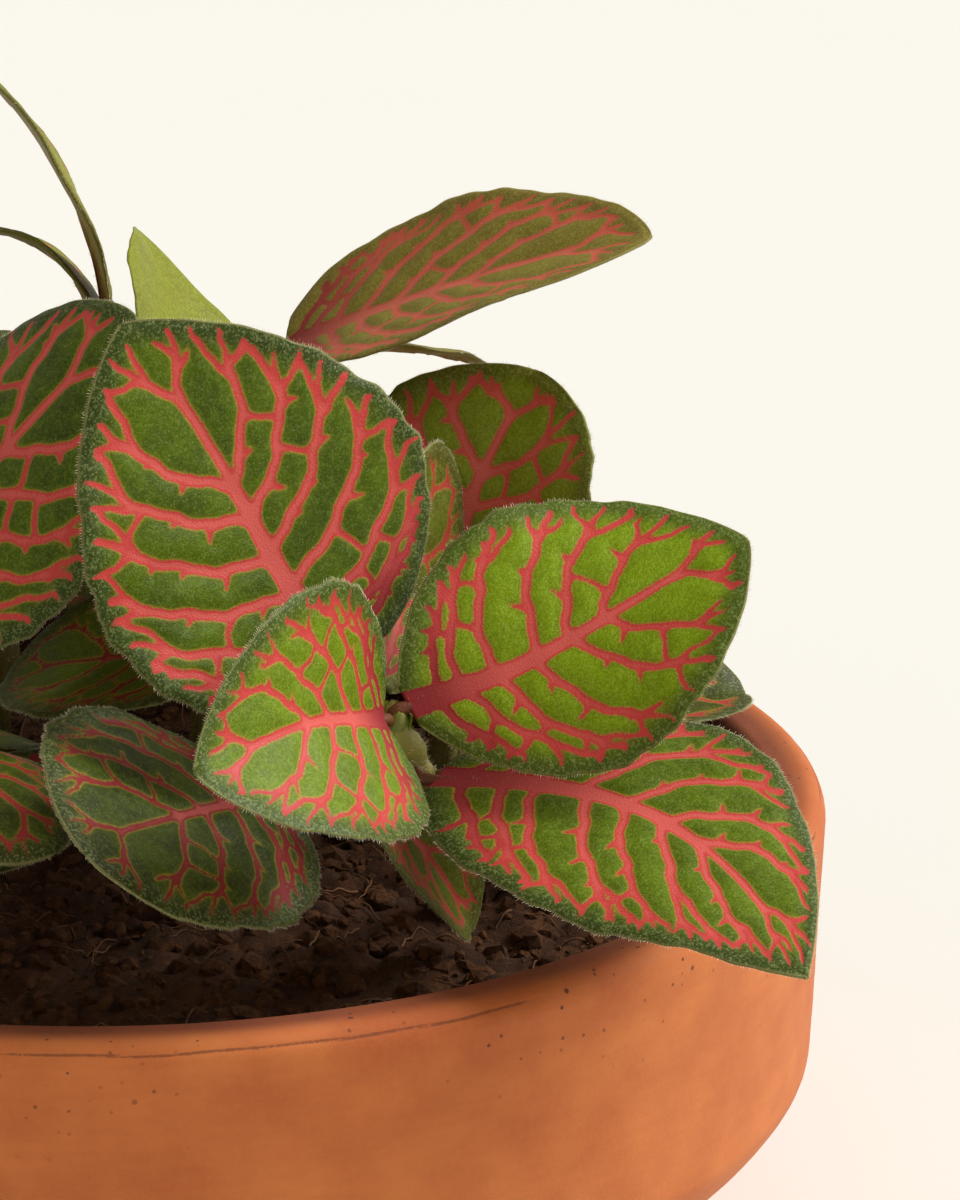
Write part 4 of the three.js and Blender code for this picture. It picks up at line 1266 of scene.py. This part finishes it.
def random_number(tree, low, high, seed):
    """One number for each point"""
    made = node(tree, "FunctionNodeRandomValue", {2: low, 3: high, 8: seed}, data_type="FLOAT")
    return made.outputs[1]


def random_triple(tree, low, high, seed):
    """Three numbers for each point"""
    made = node(tree, "FunctionNodeRandomValue", {0: low, 1: high, 8: seed}, data_type="FLOAT_VECTOR")
    return made.outputs[0]


def named(tree, mark, kind):
    """The numbers of a helper mesh, for its points"""
    return node(tree, "GeometryNodeInputNamedAttribute", {"Name": mark}, data_type=kind).outputs[0]


def scattered(tree, given, ground, value, least):
    """Points on the faces of the ground where a value is above the least one"""
    chosen = node(tree, "FunctionNodeCompare", {0: value, 1: least}, data_type="FLOAT",
                  operation="GREATER_THAN").outputs[0]
    return node(tree, "GeometryNodeDistributePointsOnFaces", {
        "Mesh": ground, "Selection": chosen, "Density": given["Density"], "Seed": given["Seed"]}).outputs


def set_on(tree, points, shape, turn, scale):
    """The shape at every point, turned and scaled"""
    return node(tree, "GeometryNodeInstanceOnPoints", {
        "Points": points, "Instance": shape, "Rotation": turn, "Scale": scale}).outputs[0]


def realized(tree, geometry):
    return node(tree, "GeometryNodeRealizeInstances", {0: geometry}).outputs[0]


def finish_tree(tree, result, geometry, material):
    made = node(tree, "GeometryNodeSetMaterial", {0: realized(tree, geometry), "Material": material})
    tree.links.new(made.outputs[0], result.inputs[0])
    return tree


def crumbs_tree():
    """Uneven lumps of many sizes, most of them small, on all ground that faces up"""
    tree, given, result = new_group(
        "crumbs", "GeometryNodeTree", dict(Crumbs="Geometry"), Ground="Geometry", Density="Float",
        Smallest="Float", Largest="Float", Roughness="Float", Seed="Int", Material="Material")
    seed = given["Seed"]
    normal = node(tree, "GeometryNodeInputNormal").outputs[0]
    points = scattered(tree, given, given["Ground"], parts_of(tree, normal)["Z"], 0.35)
    ball = node(tree, "GeometryNodeMeshIcoSphere", {"Radius": 1.0, "Subdivisions": 1}).outputs[0]
    share = maths(tree, "POWER", random_number(tree, 0.0, 1.0, seed), 2.4)
    least, most = given["Smallest"], given["Largest"]
    size = node(tree, "ShaderNodeMapRange", {0: share, 3: least, 4: most}).outputs[0]
    stretch = random_triple(tree, (0.6, 0.6, 0.45), (1.5, 1.1, 0.9), seed)
    turn = random_triple(tree, (-0.6, -0.6, 0.0), (0.6, 0.6, 6.283), seed)
    lumps = set_on(tree, points["Points"], ball, turn, vector_maths(tree, "SCALE", stretch, size))
    lumps = realized(tree, lumps)
    place = node(tree, "GeometryNodeInputPosition").outputs[0]
    noise = node(tree, "ShaderNodeTexNoise", {"Vector": place, "Scale": 1100.0, "Detail": 1.0})
    push = vector_maths(tree, "SUBTRACT", noise.outputs["Color"], (0.5, 0.5, 0.5))
    push = vector_maths(tree, "SCALE", push, given["Roughness"])
    rough = node(tree, "GeometryNodeSetPosition", {"Geometry": lumps, "Offset": push}).outputs[0]
    return finish_tree(tree, result, rough, given["Material"])


def strands_tree():
    """Round strands along the lines of a helper mesh"""
    tree, given, result = new_group(
        "strands", "GeometryNodeTree", dict(Strands="Geometry"), Lines="Geometry", Radius="Float",
        Sides="Int", Material="Material")
    curve = node(tree, "GeometryNodeMeshToCurve", {0: given["Lines"]}).outputs[0]
    radius = times(tree, named(tree, "thick", "FLOAT"), given["Radius"])
    curve = node(tree, "GeometryNodeSetCurveRadius", {"Curve": curve, "Radius": radius}).outputs[0]
    ring = node(tree, "GeometryNodeCurvePrimitiveCircle", {"Resolution": given["Sides"], "Radius": 1.0})
    made = node(tree, "GeometryNodeCurveToMesh", {
        "Curve": curve, "Profile Curve": ring.outputs[0], "Scale": radius, "Fill Caps": True})
    return finish_tree(tree, result, made.outputs[0], given["Material"])


def plant_hairs(tree, given, result, points, outward, least_lean, most_lean, smallest):
    """A three-sided hair at every point, leaning at random from the outward direction"""
    cone = node(tree, "GeometryNodeMeshCone", {
        "Vertices": 3, "Side Segments": 1, "Radius Top": 0.0, "Radius Bottom": given["Width"],
        "Depth": given["Length"]}, fill_type="NONE")
    lean = random_triple(tree, least_lean, most_lean, given["Seed"])
    outward = vector_maths(tree, "ADD", outward, lean)
    turn = node(tree, "FunctionNodeAlignRotationToVector", {"Vector": outward}, axis="Z").outputs[0]
    size = random_number(tree, smallest, 1.2, given["Seed"])
    hairs = set_on(tree, points, cone.outputs["Mesh"], turn, size)
    return finish_tree(tree, result, hairs, given["Material"])


def margin_hairs_tree():
    tree, given, result = new_group(
        "margin_hairs", "GeometryNodeTree", dict(Hairs="Geometry"), Rims="Geometry", Spacing="Float",
        Length="Float", Width="Float", Seed="Int", Material="Material")
    curve = node(tree, "GeometryNodeMeshToCurve", {0: given["Rims"]}).outputs[0]
    curve = node(tree, "GeometryNodeResampleCurve", {"Curve": curve, "Length": given["Spacing"]},
                 mode="LENGTH").outputs[0]
    outward = named(tree, "outward", "FLOAT_VECTOR")
    return plant_hairs(tree, given, result, curve, outward, (-0.45,) * 3, (0.45,) * 3, 0.35)


def stem_hairs_tree():
    tree, given, result = new_group(
        "stem_hairs", "GeometryNodeTree", dict(Hairs="Geometry"), Stems="Geometry", Density="Float",
        Length="Float", Width="Float", Lowest="Float", Seed="Int", Material="Material")
    place = node(tree, "GeometryNodeInputPosition").outputs[0]
    points = scattered(tree, given, given["Stems"], parts_of(tree, place)["Z"], given["Lowest"])
    return plant_hairs(tree, given, result, points["Points"], points["Normal"],
                       (-0.4, -0.4, -0.2), (0.4, 0.4, 0.6), 0.4)


def keep_result(piece, name):
    """A plain mesh of what the piece's modifiers make, in the piece's place"""
    graph = bpy.context.evaluated_depsgraph_get()
    mesh = bpy.data.meshes.new_from_object(piece.evaluated_get(graph), depsgraph=graph)
    bpy.data.objects.remove(piece)
    mesh.name = name
    return link(name, mesh)


def grow_from(helper, name, tree, **values):
    """Run a node tree on a helper object, whose place the result takes"""
    modifier = helper.modifiers.new("grow", "NODES")
    modifier.node_group = tree
    for item in tree.interface.items_tree:
        if item.item_type == "SOCKET" and item.in_out == "INPUT" and item.name in values:
            modifier[item.identifier] = values[item.name]
    return keep_result(helper, name)


# The plant, its pot and its soil

LEAF, STEM_SKIN, CLAY = leaf_material(), stem_material(), clay_material()
COMPOST = compost_material("compost", (58, 35, 16), (98, 58, 30), 300.0)
CRUMB = compost_material("crumb", (66, 38, 17), (132, 84, 46), 700.0)
FIBRE, HAIR = fibre_material(), hair_material()


def keep(piece, node_name=None):
    """Put a piece on its body, and hide the solid that it takes the place of"""
    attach(piece, "root")
    if node_name:
        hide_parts(node_name)


def grow_shoots():
    """Leaves and stems of every shoot; returns the rims of all leaves and one shell of all stems"""
    rims, all_stems = [], Shell()
    leaf_number = 0
    for shoot, stem, entries in SHOOTS:
        blades, stems = Shell(), Shell()
        leaves = [leaf_of(entry, leaf_number + i) for i, entry in enumerate(entries)]
        for leaf in leaves:
            leaf_number += 1
            add_leaf(blades, rims, leaf, leaf_number)
        for leaf in bud_leaves(stem):
            add_leaf(blades, rims, leaf, leaf_number)
        for shell in (stems, all_stems):
            add_stem(shell, stem, leaves)
            for leaf in leaves:
                add_stalk(shell, stem, leaf)
        keep(blades.piece(shoot + "_leaves", LEAF), shoot)
        keep(stems.piece(shoot + "_stem", STEM_SKIN), shoot)
    return rims, all_stems


def strew_soil(soil):
    """Crumbs on the soil's top, and fibres over them"""
    ground = link("ground", soil.data.copy())
    keep(grow_from(ground, "soil_crumbs", crumbs_tree(), Density=420000.0, Smallest=0.00022, Largest=0.0014,
                   Roughness=0.0007, Seed=7, Material=CRUMB))
    points, edges, thick = fibre_lines()
    lines = new_piece("lines", points, [], edges, marks=dict(thick=thick))
    keep(grow_from(lines, "soil_fibres", strands_tree(), Radius=0.00012, Sides=4, Material=FIBRE))


def plant_all_hairs(rims, all_stems):
    """Hairs along the leaf rims and on the stems"""
    points = np.concatenate([line for line, _ in rims])
    outward = np.concatenate([ways for _, ways in rims])
    starts = np.cumsum([0] + [len(line) for line, _ in rims])
    edges = [(i, i + 1) for first, last in zip(starts, starts[1:]) for i in range(first, last - 1)]
    lines = new_piece("rim_lines", points, [], edges, marks=dict(outward=outward))
    keep(grow_from(lines, "leaf_margin_hairs", margin_hairs_tree(), Spacing=0.00022, Length=0.0003,
                   Width=0.000028, Seed=5, Material=HAIR))
    stems = all_stems.piece("all_stems", STEM_SKIN)
    keep(grow_from(stems, "stem_hairs", stem_hairs_tree(), Density=2500000.0, Length=0.00045, Width=0.000028,
                   Lowest=0.036, Seed=6, Material=HAIR))


keep(build_pot(CLAY), "pot")
soil_body = build_soil(COMPOST)
keep(soil_body, "soil")
leaf_rims, stem_shell = grow_shoots()
strew_soil(soil_body)
plant_all_hairs(leaf_rims, stem_shell)


# Floor, light and camera

def build_floor():
    material, tree, spot, shader = new_material("floor", Roughness=0.9, Specular_IOR_Level=0.1)
    clouds = times(tree, mottled(tree, spot, 1.5), 0.3)
    colour = mix(tree, clouds, paint(234, 234, 229), paint(231, 231, 225))
    tree.links.new(colour, shader.inputs["Base Color"])
    side = 3000
    corners = [(-side, -side, 0), (side, -side, 0), (side, side, 0), (-side, side, 0)]
    new_piece("floor", corners, [(0, 1, 2, 3)], material=material)


def build_light():
    world = bpy.data.worlds.new("studio")
    bpy.context.scene.world = world
    world.use_nodes = True
    sky = world.node_tree.nodes["Background"]
    sky.inputs["Color"].default_value = (1.0, 0.91, 0.78, 1)
    sky.inputs["Strength"].default_value = 0.33
    for name, turn, strength, angle, colour in (
        ("side_light", (48, 0, 106), 3.75, 40, (1.0, 0.995, 0.985)),
        ("front_fill", (50, 0, -12), 0.3, 70, (1.0, 0.92, 0.84)),
    ):
        sun = bpy.data.lights.new(name, "SUN")
        sun.energy = strength
        sun.angle = math.radians(angle)
        sun.color = colour
        link(name, sun).rotation_euler = [math.radians(part) for part in turn]


def build_camera():
    camera = bpy.data.cameras.new("camera")
    camera.sensor_width = 36
    camera.lens = 154.8
    camera.clip_end = 20
    eye = link("camera", camera)
    eye.location = (0.031, -0.4292, 0.1941)
    eye.rotation_euler = (math.radians(72.5), 0, 0)
    bpy.context.scene.camera = eye


build_floor()
build_light()
build_camera()
bpy.context.scene.view_settings.view_transform = "Standard"
